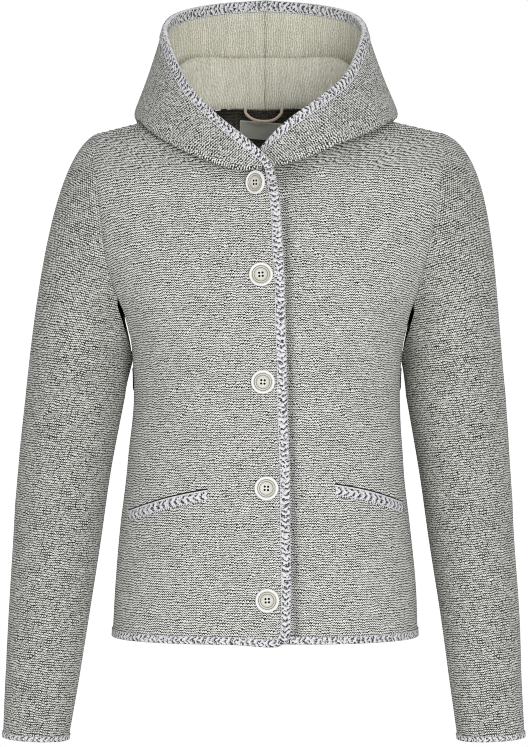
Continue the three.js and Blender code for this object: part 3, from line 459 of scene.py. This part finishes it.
# Cloth as a bmesh grid whose points are moved to rows of places; the UV map holds millimetre distances as
# metres, so that a knit pattern keeps its size and runs with the cloth.
def clothGrid(places, distances, outward=None, ring=False):
    rows, columns = len(places), len(places[0])
    bm = bmesh.new()
    grid = bmesh.ops.create_grid(bm, x_segments=columns - 1, y_segments=rows - 1, size=0.5)
    layer = bm.loops.layers.uv.new("Cloth")
    spot = {vert: divmod(n, columns) for n, vert in enumerate(grid["verts"])}
    for face in bm.faces:
        for loop in face.loops:
            j, i = spot[loop.vert]
            loop[layer].uv = [distance * mm for distance in distances[j][i]]
    for vert, (j, i) in spot.items():
        vert.co = places[j][i]
    if ring:
        bmesh.ops.remove_doubles(bm, verts=bm.verts, dist=0.02)
    bm.normal_update()
    if outward:
        turnOver(bm, sum(face.normal.dot(outward) for face in bm.faces))
    return bm


def turnOver(bm, facing):  # flips a sheet that faces inwards
    if facing < 0:
        bmesh.ops.reverse_faces(bm, faces=bm.faces)
        bm.normal_update()


def press(bm, depthAt):  # moves a sheet in along its normals
    normals = [vert.normal.copy() for vert in bm.verts]
    for vert, normal in zip(bm.verts, normals):
        vert.co -= normal * depthAt(vert.co, normal)


def creasePress(lines):
    return lambda place, normal: creaseDepth(place.x, place.z, lines)


def joinCloth(bm, other):
    joined = newMesh("joined", other)
    bm.from_mesh(joined)
    bpy.data.meshes.remove(joined)


def addPiece(name, bm, material, nodes, wall=None, reverse=None):
    bmesh.ops.scale(bm, verts=bm.verts, vec=(mm, mm, mm))
    mesh = newMesh(name, bm)
    mesh.shade_smooth()
    piece = newObject(name, mesh)
    mesh.materials.append(material)
    if reverse:
        mesh.materials.append(reverse)
    if wall:
        shell = piece.modifiers.new("wall", "SOLIDIFY")
        shell.thickness = wall * mm
        shell.offset = -1
        shell.material_offset = 1 if reverse else 0
    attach(piece, "root")
    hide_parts(*nodes)
    return piece


def lineLengths(line):  # running distance along a line of points
    return list(accumulate(((after - here).length for here, after in zip(line, line[1:])), initial=0))


def clothDistances(places, heightOf):  # along each row, and up the cloth
    return [[(length, heightOf(point)) for point, length in zip(row, lineLengths(row))] for row in places]


def rowDistances(places, heights):  # along each row, with one height for the whole row
    return [[(length, height) for length in lineLengths(row)] for row, height in zip(places, heights)]


print("Fronts and back")
panels = {"columns": 96, "rows": 200, "seamPinch": 1.3, "seamWide": 5, "armDrop": 13}


def evenLevels(face, count):  # torso levels spaced evenly along the centre line
    fine = spread(0, torso["levels"], 600)
    line = [(along(torso[face + "Y"], at), along(torso[face + "Z"], at)) for at in fine]
    run = list(accumulate((dist(*ends) for ends in zip(line, line[1:])), initial=0))
    levels = []
    for goal in spread(0, run[-1], count):
        k = min(bisect_left(run, goal, 1), 600)
        levels.append(lerp(fine[k - 1], fine[k], (goal - run[k - 1]) / (run[k] - run[k - 1])))
    return levels


def roundedCorner(point, startX, sign, radius):  # takes the lower front corner round
    inX = abs(point.x - sign * startX)
    inZ = point.z - torso["frontZ"][0]
    if inX >= radius or inZ >= radius:
        return
    p, q = 1 - inX / radius, 1 - inZ / radius
    shrink = max(p, q) / hypot(p, q)
    point.x = sign * (startX + radius * (1 - p * shrink))
    point.z = torso["frontZ"][0] + radius * (1 - q * shrink)


def courseHeight(point):  # courses drop towards the armholes
    outside = (max(abs(point.x) - 95, 0) / 70) ** 2 * exp(-((point.z + 175) / 90) ** 2)
    return point.z + panels["armDrop"] * outside


def panelRows(side, face):
    places = []
    for level in evenLevels(face, panels["rows"]):
        section = torsoLevel(side, face, level)
        width, sweep = section["width"], section["turn"]
        start = frontStart(side, level) if face == "front" else neckBackX(level)
        startTurn = asin(start / width * sin(sweep))
        row = []
        for turn in spread(startTurn, sweep, panels["columns"]):
            x = width * sin(turn) / sin(sweep)
            point = sectionPoint(section, x)
            if face == "front":
                roundedCorner(point, start, section["sign"], torso["corner"])
            row.append(layOver(point, side, face, level, x))
        places.append(row)
    return places, clothDistances(places, courseHeight)


def pinchSeams(side, bm):  # lowers the cloth towards the side seam, the armhole and the shoulder seam
    marks = [torsoPoint(side, "front", 12, x) for x in spread(torso["neckHalf"], torso[side][-1], 12)]
    for face in ("front", "back"):
        marks += [torsoPoint(side, face, level, along(torso[side], level)) for level in spread(0, 12, 96)]

    def depthAt(place, normal):
        away = min((place - mark).length for mark in marks)
        return panels["seamPinch"] * exp(-(away / panels["seamWide"]) ** 2)
    press(bm, depthAt)


for side in sides:
    bm = clothGrid(*panelRows(side, "front"), forward)
    press(bm, creasePress(creases["front"] + (creases["underLap"] if side == "left" else [])))
    pinchSeams(side, bm)
    addPiece(f"cloth_front_{side}", bm, greyKnit, [f"front_{side}"], torso["cloth"], reversePaintedShadeKnit)

halves = []
for side in sides:
    halves.append(clothGrid(*panelRows(side, "back"), -forward))
    pinchSeams(side, halves[-1])
bm, leftHalf = halves
joinCloth(bm, leftHalf)
bmesh.ops.remove_doubles(bm, verts=bm.verts, dist=0.05)
bm.normal_update()
press(bm, creasePress(creases["back"]))
addPiece("cloth_back", bm, greyKnit, ["back"], torso["cloth"], reversePaintedShadeKnit)


print("Sleeves")
sleeves = {
    "right": {
        "outer": [253.5, 261.5, 266, 270, 273, 274.8], "inner": [148, 163, 173.5, 185, 196, 206],
        "leave": 0.155, "cuffX": -242},
    "left": {
        "outer": [255.5, 260.5, 264, 268.7, 270.5, 273], "inner": [150, 163.6, 174, 185.5, 194.8, 202.7],
        "leave": 0.21, "cuffX": 240},
    "z": [-300, -380, -455, -530, -600, -657.3], "y": [4, 0, -6, -13, -20, -26],
    "depth": [116, 108, 97, 86, 76, 69], "drop": [0, 0, 0, 1, 2, 3],
    "ringLevels": [5, 6, 7, 8, 9, 10, 10.5, 11, 11.33, 11.67, 12],
    "columns": 100, "capRows": 80, "armRows": 120,
}


def armholePoint(side, share):  # once round the armhole: up the front, over the shoulder, down the back
    at = share * 20
    face = "front" if at <= 10 else "back"
    at = at if at <= 10 else 20 - at
    low = min(floor(at), 9)
    level = lerp(sleeves["ringLevels"][low], sleeves["ringLevels"][low + 1], at - low)
    x = along(torso[side], level)
    point = torsoPoint(side, face, level, x)
    inner = torsoPoint(side, face, level, x - 4)
    lower = torsoPoint(side, face, level - 0.1, along(torso[side], level - 0.1))
    under = (inner - point).cross(lower - point).normalized()
    outward = Vector((0, -1 if face == "front" else 1, 0.8))
    under = under if under.dot(outward) > 0 else -under
    return point - under * 0.6, under


def sleeveRing(side, at, turn):
    outer, inner = along(sleeves[side]["outer"], at), along(sleeves[side]["inner"], at)
    across = cos(turn)
    x = (outer + inner) / 2 + (outer - inner) / 2 * across
    y = along(sleeves["y"], at) - along(sleeves["depth"], at) / 2 * sin(turn)
    z = along(sleeves["z"], at) - along(sleeves["drop"], at) * (1 - across) / 2
    return Vector((sides[side] * x, y, z))


def bezier(a, b, c, d, t):
    s = 1 - t
    return a * s ** 3 + b * 3 * s * s * t + c * 3 * s * t * t + d * t ** 3


def sleeveRows(side):
    sign = sides[side]
    columns = []
    for share in spread(0, 1, sleeves["columns"])[:-1] + [0]:
        turn = pi - 2 * pi * share
        rise = (1 + cos(turn)) / 2
        leave = Vector((sign * (0.25 + 0.7 * rise), 0, -(0.97 - 0.66 * rise))).normalized()
        start, under = armholePoint(side, share)
        end = sleeveRing(side, 0, turn)
        span = (start - end).length
        arrive = Vector((-sign * 0.1, 0, 1)).normalized()
        first = start + leave * span * lerp(0.3, sleeves[side]["leave"], rise)
        second = end + arrive * span * lerp(0.3, 0.46, rise)
        column = [start - leave * 3 - under * 2]  # turned in under the body's edge
        column += [bezier(start, first, second, end, t) for t in spread(0, 1, sleeves["capRows"])[:-1]]
        column += [sleeveRing(side, at, turn) for at in spread(0, 5, sleeves["armRows"])]
        columns.append(column)
    places = list(zip(*columns))
    return places, clothDistances(places, sleeveCourse)


def sleeveCourse(point):  # courses stay square to the sleeve, which leans out at the top
    upper = smoothStep(-270, -50, point.z)
    centre = lerp(lerp(242, 202, (point.z + 656) / 356), 190, upper)
    return point.z - lerp(0.11, 0.45, upper) * (abs(point.x) - centre)


def sleeveCrease(place, normal):
    faces = (("sleeveFront", -normal.y), ("sleeveBack", normal.y))
    return sum(smoothStep(-0.3, 0.4, y) * creaseDepth(place.x, place.z, creases[key]) for key, y in faces)


for side in sides:
    axis = 215 * sides[side]
    bm = clothGrid(*sleeveRows(side), ring=True)
    turnOver(bm, sum(face.normal.x * (face.calc_center_median().x - axis) for face in bm.faces))
    press(bm, sleeveCrease)
    addPiece(f"cloth_sleeve_{side}", bm, sleevePaintedShadeKnit, [f"sleeve_{side}"], torso["cloth"],
             reversePaintedShadeKnit)


print("Hood and lining")
# Hood stations from the centre back round to the front edge: the neckline point, the ridge that rises from
# the neck seam, the sag of the pouch or roll, and the bound rim.
hood = {
    "both": {
        "neck": [11, 11.33, 11.67, 11.85, 12, 11.5, 11, 10.5, 10], "lift": [0.8, 0.8, 0.8, 0.8],
        "ridge": [(0, 80, 72), (40, 76, 71), (75, 56, 68), (90, 34, 52)],
        "sag": [(0, 134, -132), (62, 126, -122), (110, 102, -76), (134, 52, -13.5)],
        "rim": [(0, 92, 129.5), (54, 82, 124), (89.5, 55, 112.5), (104, 24, 97)],
        "fold": [7, 7, 7, 6], "bag": [9, 9, 9, 8], "belly": [14, 13, 10, 2],
        "tuck": [8, 7, 4, 2, 1, 0, 0, 0, 0]},
    "right": {
        "lift": [1.6, 3, 3, 3, 1.5],
        "ridge": [(96, 6, 30), (87, -32, 8), (60, -65, -17), (26, -83, -47), (-9, -94.5, -63.5)],
        "sag": [(134, 2, -8), (112, -52, -29), (74, -90, -51), (28, -101, -67), (-8, -97, -62.5)],
        "rim": [(104, -2, 79), (84, -44, 32), (54, -74, -6), (19, -96, -36), (-3.5, -98, -57)],
        "fold": [6, 4, 3, 2.5, 0.3], "bag": [7, 6, 5, 4, 0.3], "belly": [-5, 3, 2, 0, 0]},
    "left": {
        "lift": [1.6, 3, 3, 3, 3],
        "ridge": [(96, 6, 30), (87, -32, 10), (62, -63, -15), (18, -75, -46), (-25, -75, -62)],
        "sag": [(138, 2, -7), (113, -50, -23), (77, -87, -39), (24, -94, -60), (-19, -77.5, -61.5)],
        "rim": [(104, -2, 79), (85, -42, 36), (54, -72, 6), (19, -86, -21), (-11, -79.5, -54)],
        "fold": [6, 4, 3, 2, 0.3], "bag": [7, 6, 5, 3, 0.3], "belly": [-2, 3, 2, 0, 0]},
    "layer": 0.15, "cloth": 2.0, "columns": 110, "rows": 120,
}


def splinePoint(controls, t):  # a point of a clamped cubic B-spline
    spans = len(controls) - 3
    at = min(t * spans, spans - 1e-9)
    k = floor(at)
    points = controls[k:k + 4]
    for r in range(1, 4):
        for j in range(3, r - 1, -1):
            low, high = max(k + j - 3, 0), min(k + j + 1 - r, spans)
            points[j] = lerp(points[j - 1], points[j], (at - low) / (high - low))
    return points[3]


def hoodControls(side):  # eight control points a station
    stations = []
    part = {key: values + hood[side].get(key, []) for key, values in hood["both"].items()}
    for k, level in enumerate(part["neck"]):
        if k < 4:
            neck = torsoPoint(side, "back", level, neckBackX(level))
        else:
            neck = panelPoint(side, "front", level, frontStart(side, level))
        lines = [part[key][k] for key in ("ridge", "sag", "rim")]
        ridge, sag, rim = (Vector((sides[side] * x, y, z)) for x, y, z in lines)
        away = Vector((neck.x, neck.y, 0)).normalized()
        inner = ridge.lerp(sag, 0.5) - away * part["tuck"][k]
        outer = sag.lerp(rim, 0.45) + away * part["belly"][k]
        fold, bag = away * part["fold"][k], away * part["bag"][k]
        lifted = neck + Vector((0, 0, part["lift"][k]))
        stations.append([lifted, ridge - fold, ridge + fold, inner, sag - bag, sag + bag, outer, rim])
    return stations


def hoodRows(side):  # one row a station, from the neck seam to the rim
    stations = hoodControls(side)
    places = []
    for at in spread(0, 8, hood["rows"]):
        controls = [alongPoints([station[c] for station in stations], at) for c in range(8)]
        places.append([splinePoint(controls, t) for t in spread(0, 1, hood["columns"])])
    rim = [row[-1] for row in places]
    distances = []
    for j, (row, aside) in enumerate(zip(places, lineLengths(rim))):  # courses run square to the rim
        course = (rim[min(j + 1, len(rim) - 1)] - rim[max(j - 1, 0)]).normalized()
        down = 0
        line = [(down, aside)]
        for here, after in zip(row[::-1], row[-2::-1]):
            step = after - here
            slide = step.dot(course) * smoothStep(80, 20, down)
            aside += slide
            down += (max(step.length_squared - slide * slide, 0)) ** 0.5
            line.append((down, aside))
        distances.append(line[::-1])
    return places, distances


def tuckedRows(side, places, distances, low):  # the hood with its edge turned in behind the neck seam
    newPlaces, newDistances = [], []
    for j, (row, line) in enumerate(zip(places, distances)):
        at = 8 * j / hood["rows"]
        level = along(hood["both"]["neck"], at)
        face = "back" if at < 4 else "front"
        seam, lower = (torsoPoint(side, face, n, abs(row[0].x)) for n in (level, level - 0.1))
        newPlaces.append([row[0] + (lower - seam).normalized() * low] + row)
        newDistances.append([(line[0][0] + low, line[0][1])] + line)
    return newPlaces, newDistances


# Each layer of the hood: its knit and slot, which way it faces off the sheet between them, how far it is
# turned in at the neck, how many rows it stops short of the front corner, and how deep its centre seam lies.
hoodLayers = {
    "outer": (hoodKnit, "grey_knit", 1, 6, 0, 1.2),
    "lining": (creamKnit, "cream_knit", -1, 2.5, 9, 0.4),
}
hoodPlaces = {}
for side in sides:
    hoodPlaces[side], distances = hoodRows(side)
    for layer, (knit, slotName, faces, tuck, short, seam) in hoodLayers.items():
        last = len(distances) - short
        bm = clothGrid(*tuckedRows(side, hoodPlaces[side][:last], distances[:last], tuck))
        turnOver(bm, sum(face.normal.y * faces for face in bm.faces if face.calc_center_median().z > 90))
        centreSeam = [vert for vert in bm.verts if abs(vert.co.x) < 0.01]
        for vert in centreSeam:
            vert.normal = Vector((0, vert.normal.y, vert.normal.z)).normalized()

        def sunk(place, normal):
            depth = seam * exp(-(place.x / 3.5) ** 2) if place.y > 40 else 0
            if side == "left" and place.y < 0 and normal.y * faces < -0.2:
                depth += creaseDepth(place.x, place.z, creases["hoodLeft"]) * faces
            return depth - hood["layer"] - hood["cloth"]
        press(bm, sunk)
        for vert in centreSeam:  # the halves just lap there
            vert.co.x = -0.15 * sides[side]
        addPiece(f"cloth_hood_{layer}_{side}", bm, knit, [f"hood_{layer}_{side}"],
                 hood["cloth"])


print("Edge braids")
braid = {
    "front": 9.6, "hood": 11, "hem": 7.5, "cuff": 5, "cuffStep": 57.3, "proud": 1.25, "edge": 1.3,
    "wall": 0.9, "bodyTop": 9.75, "rimStart": 0.925, "section": [
        (1, 0.08), (0.99, 0.56), (0.95, 0.95), (0.88, 1), (0.8, 0.86), (0.65, 0.9), (0.5, 0.93), (0.35, 0.9),
        (0.2, 0.86), (0.1, 1)],
}


def station(edge, face, front=0, back=-2):  # places on the cloth at the edge and at the braid's inner border
    return {"edge": edge[0], "face": face[0], "edgeNormal": edge[1], "faceNormal": face[1],
            "front": front, "back": back}


def edgePlace(side, face, level, x):  # a point on the cloth and the way it faces
    step = 0.02 if level < 11.9 else -0.02
    aside = 1 if x < 140 else -1
    point = panelPoint(side, face, level, x)
    across = (panelPoint(side, face, level, x + aside) - point) * aside
    rise = (panelPoint(side, face, level + step, x) - point) / step
    normal = across.cross(rise).normalized()
    wrong = normal.y if face == "front" else -normal.y
    if wrong >= 0.05:
        normal.negate()
    if face == "front":
        point -= normal * creaseDepth(point.x, point.z, creases["front"])
    return point, normal


def frontEdgeStations(side):  # from the neck down to the corner, and round it
    stations = []
    for level in spread(braid["bodyTop"], torso["corner"] / torso["hemStep"], 90):
        start = frontStart(side, level)
        stations.append(station(*(edgePlace(side, "front", level, start + x) for x in (0, braid["front"]))))
    radius = torso["corner"]
    for k in range(1, 13):
        turn = radians(90) * k / 13
        places = []
        for across, down in ((radius, radius), (radius - braid["front"], radius - braid["hem"])):
            level = (radius - down * sin(turn)) / torso["hemStep"]
            places.append(edgePlace(side, "front", level, frontStart(side, 0) + radius - across * cos(turn)))
        stations.append(station(*places))
    return stations


def hemStations(side, face):  # from the corner or the centre back to the side seam
    stations = []
    start = frontStart(side, 0) + torso["corner"] if face == "front" else 0
    sideways = Vector((sides[side], 0, 0))
    for share in spread(0, 1, 48):
        turn = lerp(asin(start / torso[side][0]), radians(90), share)
        places = []
        for level in (0, braid["hem"] / torso["hemStep"]):
            point, normal = edgePlace(side, face, level, along(torso[side], level) * sin(turn) * 0.9999)
            places.append((point, normal.lerp(sideways, smoothStep(0.9, 1, share)).normalized()))
        stations.append(station(*places))
    return stations


def hoodRimStations(side):  # from the front round to the centre back
    places = hoodPlaces[side]
    stations = []
    high = hood["layer"] + hood["cloth"]
    for j in range(int(hood["rows"] * braid["rimStart"]), -1, -1):
        row = places[j]
        last = c = len(row) - 1
        while (row[c] - row[-1]).length < braid["hood"]:
            c -= 1
        far, near = (row[c] - row[-1]).length, (row[c + 1] - row[-1]).length
        inner = row[c].lerp(row[c + 1], (far - braid["hood"]) / (far - near))
        run = places[j + 1][-1] - places[max(j - 1, 0)][-1]
        normals = []
        for k in (last, c):
            normal = run.cross(row[k] - row[k - 2]).normalized()
            if normal.dot(Vector((row[-1].x, row[-1].y + 10, 0))) < 0:
                normal.negate()
            if j == 0:
                normal.x = 0
                normal.normalize()
            normals.append(normal)
        stations.append(station((row[-1], normals[0]), (inner, normals[1]), high, -high))
    return stations


def bridge(before, after, count, lift):  # smooth stations across a gap between two runs
    here, there = before[-1], after[0]
    gap = (there["edge"] - here["edge"]).length
    made = []
    for share in spread(0, 1, count)[1:-1]:
        new = {key: lerp(here[key], there[key], share) for key in here}
        for key in ("edge", "face"):
            leave = (here[key] - before[-3][key]).normalized() * gap / 3
            arrive = (after[2][key] - there[key]).normalized() * gap / 3
            new[key] = bezier(here[key], here[key] + leave, there[key] - arrive, there[key], share)
            new[key + "Normal"].normalize()
        new["front"] += lift * sin(pi * share)
        made.append(new)
    return before + made + after


def braidRows(stations):  # from the inner border on the front, round the edge, to the inner border behind
    proud, section = braid["proud"], braid["section"]
    runs = zip(*(lineLengths([here[key] for here in stations]) for key in ("edge", "face")))
    places, distances = [], []
    for here, run in zip(stations, runs):
        edge, face = here["edge"], here["face"]

        def overCloth(share, height):
            normal = here["edgeNormal"].lerp(here["faceNormal"], share).normalized()
            return edge.lerp(face, share) + normal * height
        row = [overCloth(share, here["front"] + proud * height) for share, height in section]
        away = (edge - face).normalized()
        middle = (here["front"] + here["back"]) / 2
        half = (here["front"] - here["back"]) / 2 + proud
        for turn in spread(radians(75), radians(-75), 6):  # round the edge
            lean = away * (braid["edge"] * cos(turn)) + here["edgeNormal"] * (middle + half * sin(turn))
            row.append(edge + lean)
        row += [overCloth(share, here["back"] - proud * height) for share, height in reversed(section)]
        line = lineLengths(row)
        half = line[-1] / 2
        places.append(row)
        distances.append([(sum(run) / 2, 10 * abs(length - half) / half) for length in line])
    return places, distances


def addBraid(name, stations, nodes):  # a closed loop of braid
    places, distances = braidRows(stations + [stations[0]])
    bm = clothGrid(places, distances, ring=True)
    front, back = places[0][4], places[0][-5]
    face = min(bm.faces, key=lambda f: (f.calc_center_median() - front).length)
    turnOver(bm, face.normal.dot(front - back))
    addPiece(name, bm, braidYarn, nodes, braid["wall"])


hem = hemStations("right", "front") + hemStations("right", "back")[-2::-1]
hem += hemStations("left", "back")[1:] + hemStations("left", "front")[-2::-1]
wholeRim = hoodRimStations("left") + hoodRimStations("right")[-2::-1]
wholeBody = frontEdgeStations("right") + hem + frontEdgeStations("left")[::-1]
closedLoop = bridge(wholeRim, wholeBody, 12, 3.4)
closedLoop = bridge(closedLoop, closedLoop[:3], 12, 0)[:-3]
addBraid("braid_edge", closedLoop, ["braid_body", "braid_hood"])

for side in sides:
    stations = []
    centre = Vector((sleeves[side]["cuffX"], sleeves["y"][-1], sleeves["z"][-1]))
    for turn in spread(pi, -pi, 72)[:-1]:
        edge = sleeveRing(side, 5, turn)
        face = sleeveRing(side, 5 - braid["cuff"] / braid["cuffStep"], turn)
        normal = Vector((edge.x - centre.x, (edge.y - centre.y) * 1.05, 0)).normalized()
        stations.append(station((edge, normal), (face, normal)))
    addBraid(f"braid_cuff_edge_{side}", stations, [f"braid_cuff_{side}"])


print("Pockets")
pockets = {
    "right": ((58.5, -395.7), (142, -420.2)), "left": ((72, -390.6), (144, -411.5)),
    "curve": 3, "tall": 12, "proud": 1.3, "mouth": 1.5, "floor": -528, "gap": 0.5,
}
behindCloth = -torso["cloth"] - pockets["gap"]


def onPanel(side, face, x, z, lift):  # the cloth at a height, found by halving, and the way it faces
    low, high = 0, 12
    for _ in range(30):
        middle = (low + high) / 2
        if torsoPoint(side, face, middle, x).z < z:
            low = middle
        else:
            high = middle
    point, normal = edgePlace(side, face, (low + high) / 2, x)
    return point + normal * lift, normal


def pocketPlace(side, share, down):
    near, far = pockets[side]
    z = lerp(near[1], far[1], share) + pockets["curve"] * sin(pi * share) - down
    return lerp(near[0], far[0], share), z


def stripRows(side, shares, downs, lifts):
    places = []
    for down, lift in zip(downs, lifts):
        places.append([onPanel(side, "front", *pocketPlace(side, share, down), lift)[0] for share in shares])
    return places, rowDistances(places, downs)


for side in sides:
    tall, proud = pockets["tall"], pockets["proud"]
    downs = [tall, tall - 0.15, tall - 0.8, tall * 0.8, tall * 0.6, tall * 0.4, tall * 0.2, 0.8, 0.1, 0]
    lifts = [0.1, 0.7, proud, proud * 0.85, proud * 0.95, proud * 0.95, proud * 0.9, proud * 1.15, 1.0, 0.1]
    bm = clothGrid(*stripRows(side, spread(0, 1, 60), downs, lifts), forward)
    addPiece(f"braid_pocket_edge_{side}", bm, pocketYarn, [f"braid_pocket_{side}"], 0.9)

    places = []
    tops = [pocketPlace(side, share, -6) for share in spread(-0.06, 1, 24)]
    for up in spread(0, 1, 24):
        heights = [(x, lerp(pockets["floor"], top, up)) for x, top in tops]
        places.append([onPanel(side, "front", x, z, behindCloth)[0] for x, z in heights])
    bm = clothGrid(places, rowDistances(places, [row[0].z for row in places]), forward)
    mouthRows = stripRows(side, spread(0, 1, 40), [0.2, -pockets["mouth"]], [0.35, 0.12])
    mouth = clothGrid(*mouthRows, forward)
    # The mouth strip is painted shade: it takes the near-black second slot.
    for face in mouth.faces:
        face.material_index = 1
    joinCloth(bm, mouth)
    patch = addPiece(
        f"cloth_pocket_{side}", bm, reversePaintedShadeKnit, [f"pocket_patch_{side}"], 0.3)
    patch.data.materials.append(paintedShadeCotton)  # the slit of the mouth takes the near-black second slot: painted shade


print("Buttons")
button = {
    "radius": 12.3, "holeRadius": 1.2, "holeSpacing": 1.7, "holeFloor": 0.6, "steps": 56, "lift": 0.75,
    "places": [(-8.5, -84.6, -39), (-3.8, -176.6, 0), (-1.8, -285.2, 0), (1.7, -394, 0), (2.6, -508, 0)],
    "profile": [
        (0, 0), (11.2, 0), (12.0, 0.5), (12.3, 1.4), (12.15, 2.5), (11.7, 3.2), (11.0, 3.4), (10.3, 3.25),
        (9.9, 2.85), (9.6, 2.6), (9.1, 2.6), (8.9, 2.75), (8.4, 2.75), (8.2, 2.5), (7.4, 2.42), (7.2, 2.2),
        (6.9, 2.2), (6.7, 2.38), (4.0, 2.25), (0, 2.2)],
}


def buttonShape():
    bm = bmesh.new()
    verts = [bm.verts.new((r, h, 0)) for r, h in button["profile"]]
    edges = [bm.edges.new(pair) for pair in zip(verts, verts[1:])]
    bmesh.ops.spin(bm, geom=verts + edges, axis=(0, 1, 0), cent=(0, 0, 0), angle=2 * pi,
                   steps=button["steps"], use_merge=True)
    bmesh.ops.remove_doubles(bm, verts=bm.verts, dist=0.001)
    bmesh.ops.recalc_face_normals(bm, faces=bm.faces)
    layer = bm.loops.layers.uv.new("Cloth")
    for face in bm.faces:
        for part in face.loops:
            part[layer].uv = (hypot(part.vert.co.x, part.vert.co.z) * mm, part.vert.co.y * mm)
    bodyObject = newObject("buttonBody", newMesh("buttonBody", bm))
    drill = bmesh.new()
    spacing = button["holeSpacing"]
    for x, z in ((1, 1), (1, -1), (-1, 1), (-1, -1)):
        place = Matrix.Translation((x * spacing, button["holeFloor"] + 4, z * spacing))
        place = place @ Matrix.Rotation(radians(90), 4, "X")
        bmesh.ops.create_cone(drill, cap_ends=True, segments=20, radius1=button["holeRadius"],
                              radius2=button["holeRadius"], depth=8, matrix=place)
    drillObject = newObject("drill", newMesh("drill", drill))
    cut = bodyObject.modifiers.new("holes", "BOOLEAN")
    cut.operation = "DIFFERENCE"
    cut.object = drillObject
    cut.solver = "EXACT"
    drilled = bpy.data.meshes.new_from_object(bodyObject.evaluated_get(bpy.context.evaluated_depsgraph_get()))
    for used in (bodyObject, drillObject):
        bpy.data.objects.remove(used)
    for polygon in drilled.polygons:  # the floors of the blind holes take the near-black second slot: painted shade for the depth of each hole
        place = polygon.center
        if hypot(place.x, place.z) < 4 and button["holeFloor"] - 0.1 < place.y < 2:
            polygon.material_index = 1
    return drilled


buttonMesh = buttonShape()
for n, (x, z, yaw) in enumerate(button["places"], 1):
    point, normal = onPanel("right", "front", -x, z, 0)
    facing = normal
    if yaw:  # the top button hangs upright on its thread
        facing = Matrix.Rotation(radians(yaw), 3, "Z") @ Vector((normal.x, normal.y, 0)).normalized()
    lift = button["lift"] + button["radius"] * sin(facing.angle(normal))
    turned = Vector((0, 1, 0)).rotation_difference(facing).to_matrix().to_4x4()
    bm = bmesh.new()
    bm.from_mesh(buttonMesh)
    bmesh.ops.transform(bm, verts=bm.verts, matrix=Matrix.Translation(point + normal * lift) @ turned)
    nodes = [f"button_{n}"]
    piece = addPiece(f"button_resin_{n}", bm, buttonResin, nodes, reverse=paintedShadeCotton)
    piece.data.set_sharp_from_angle(angle=radians(40))


print("Loop and label")
loop = {
    "radius": 1.6, "knots": [
        (-21, 55, 10), (-20, 54.5, 3.25), (-11.55, 54, -3.2), (0, 53.8, -5), (10.175, 54, -3.2),
        (17.5, 54.5, 3.25), (18.5, 55, 10)],
}
label = {"left": -27, "right": 23, "top": -1, "bottom": -20, "slope": -0.085, "thick": 0.7}

path = [alongPoints(loop["knots"], at) for at in spread(0, 6, 40)]
runs = lineLengths(path)
places, distances = [], []
for k, centre in enumerate(path):
    tangent = (path[min(k + 1, 40)] - path[max(k - 1, 0)]).normalized()
    sideways = Vector((0, 1, 0))
    upright = tangent.cross(sideways).normalized()
    turns = spread(0, 2 * pi, 16)
    places.append([centre + (upright * cos(turn) + sideways * sin(turn)) * loop["radius"] for turn in turns])
    distances.append([(runs[k], loop["radius"] * turn) for turn in turns])
bm = clothGrid(places, distances, ring=True)
bmesh.ops.holes_fill(bm, edges=[edge for edge in bm.edges if edge.is_boundary])
bmesh.ops.recalc_face_normals(bm, faces=bm.faces)
cord = addPiece("cotton_loop", bm, loopCotton, ["hanging_loop"])

places = []
for z in spread(label["bottom"], label["top"], 12):
    row = []
    for x in spread(label["left"], label["right"], 30):
        tilted = z + label["slope"] * (x - label["left"])
        side = "right" if x < 0 else "left"
        row.append(onPanel(side, "back", abs(x), tilted, behindCloth)[0])
    places.append(row)
bm = clothGrid(places, rowDistances(places, spread(0, label["top"] - label["bottom"], 12)), forward)
addPiece("woven_label", bm, labelTape, ["neck_label"], label["thick"])
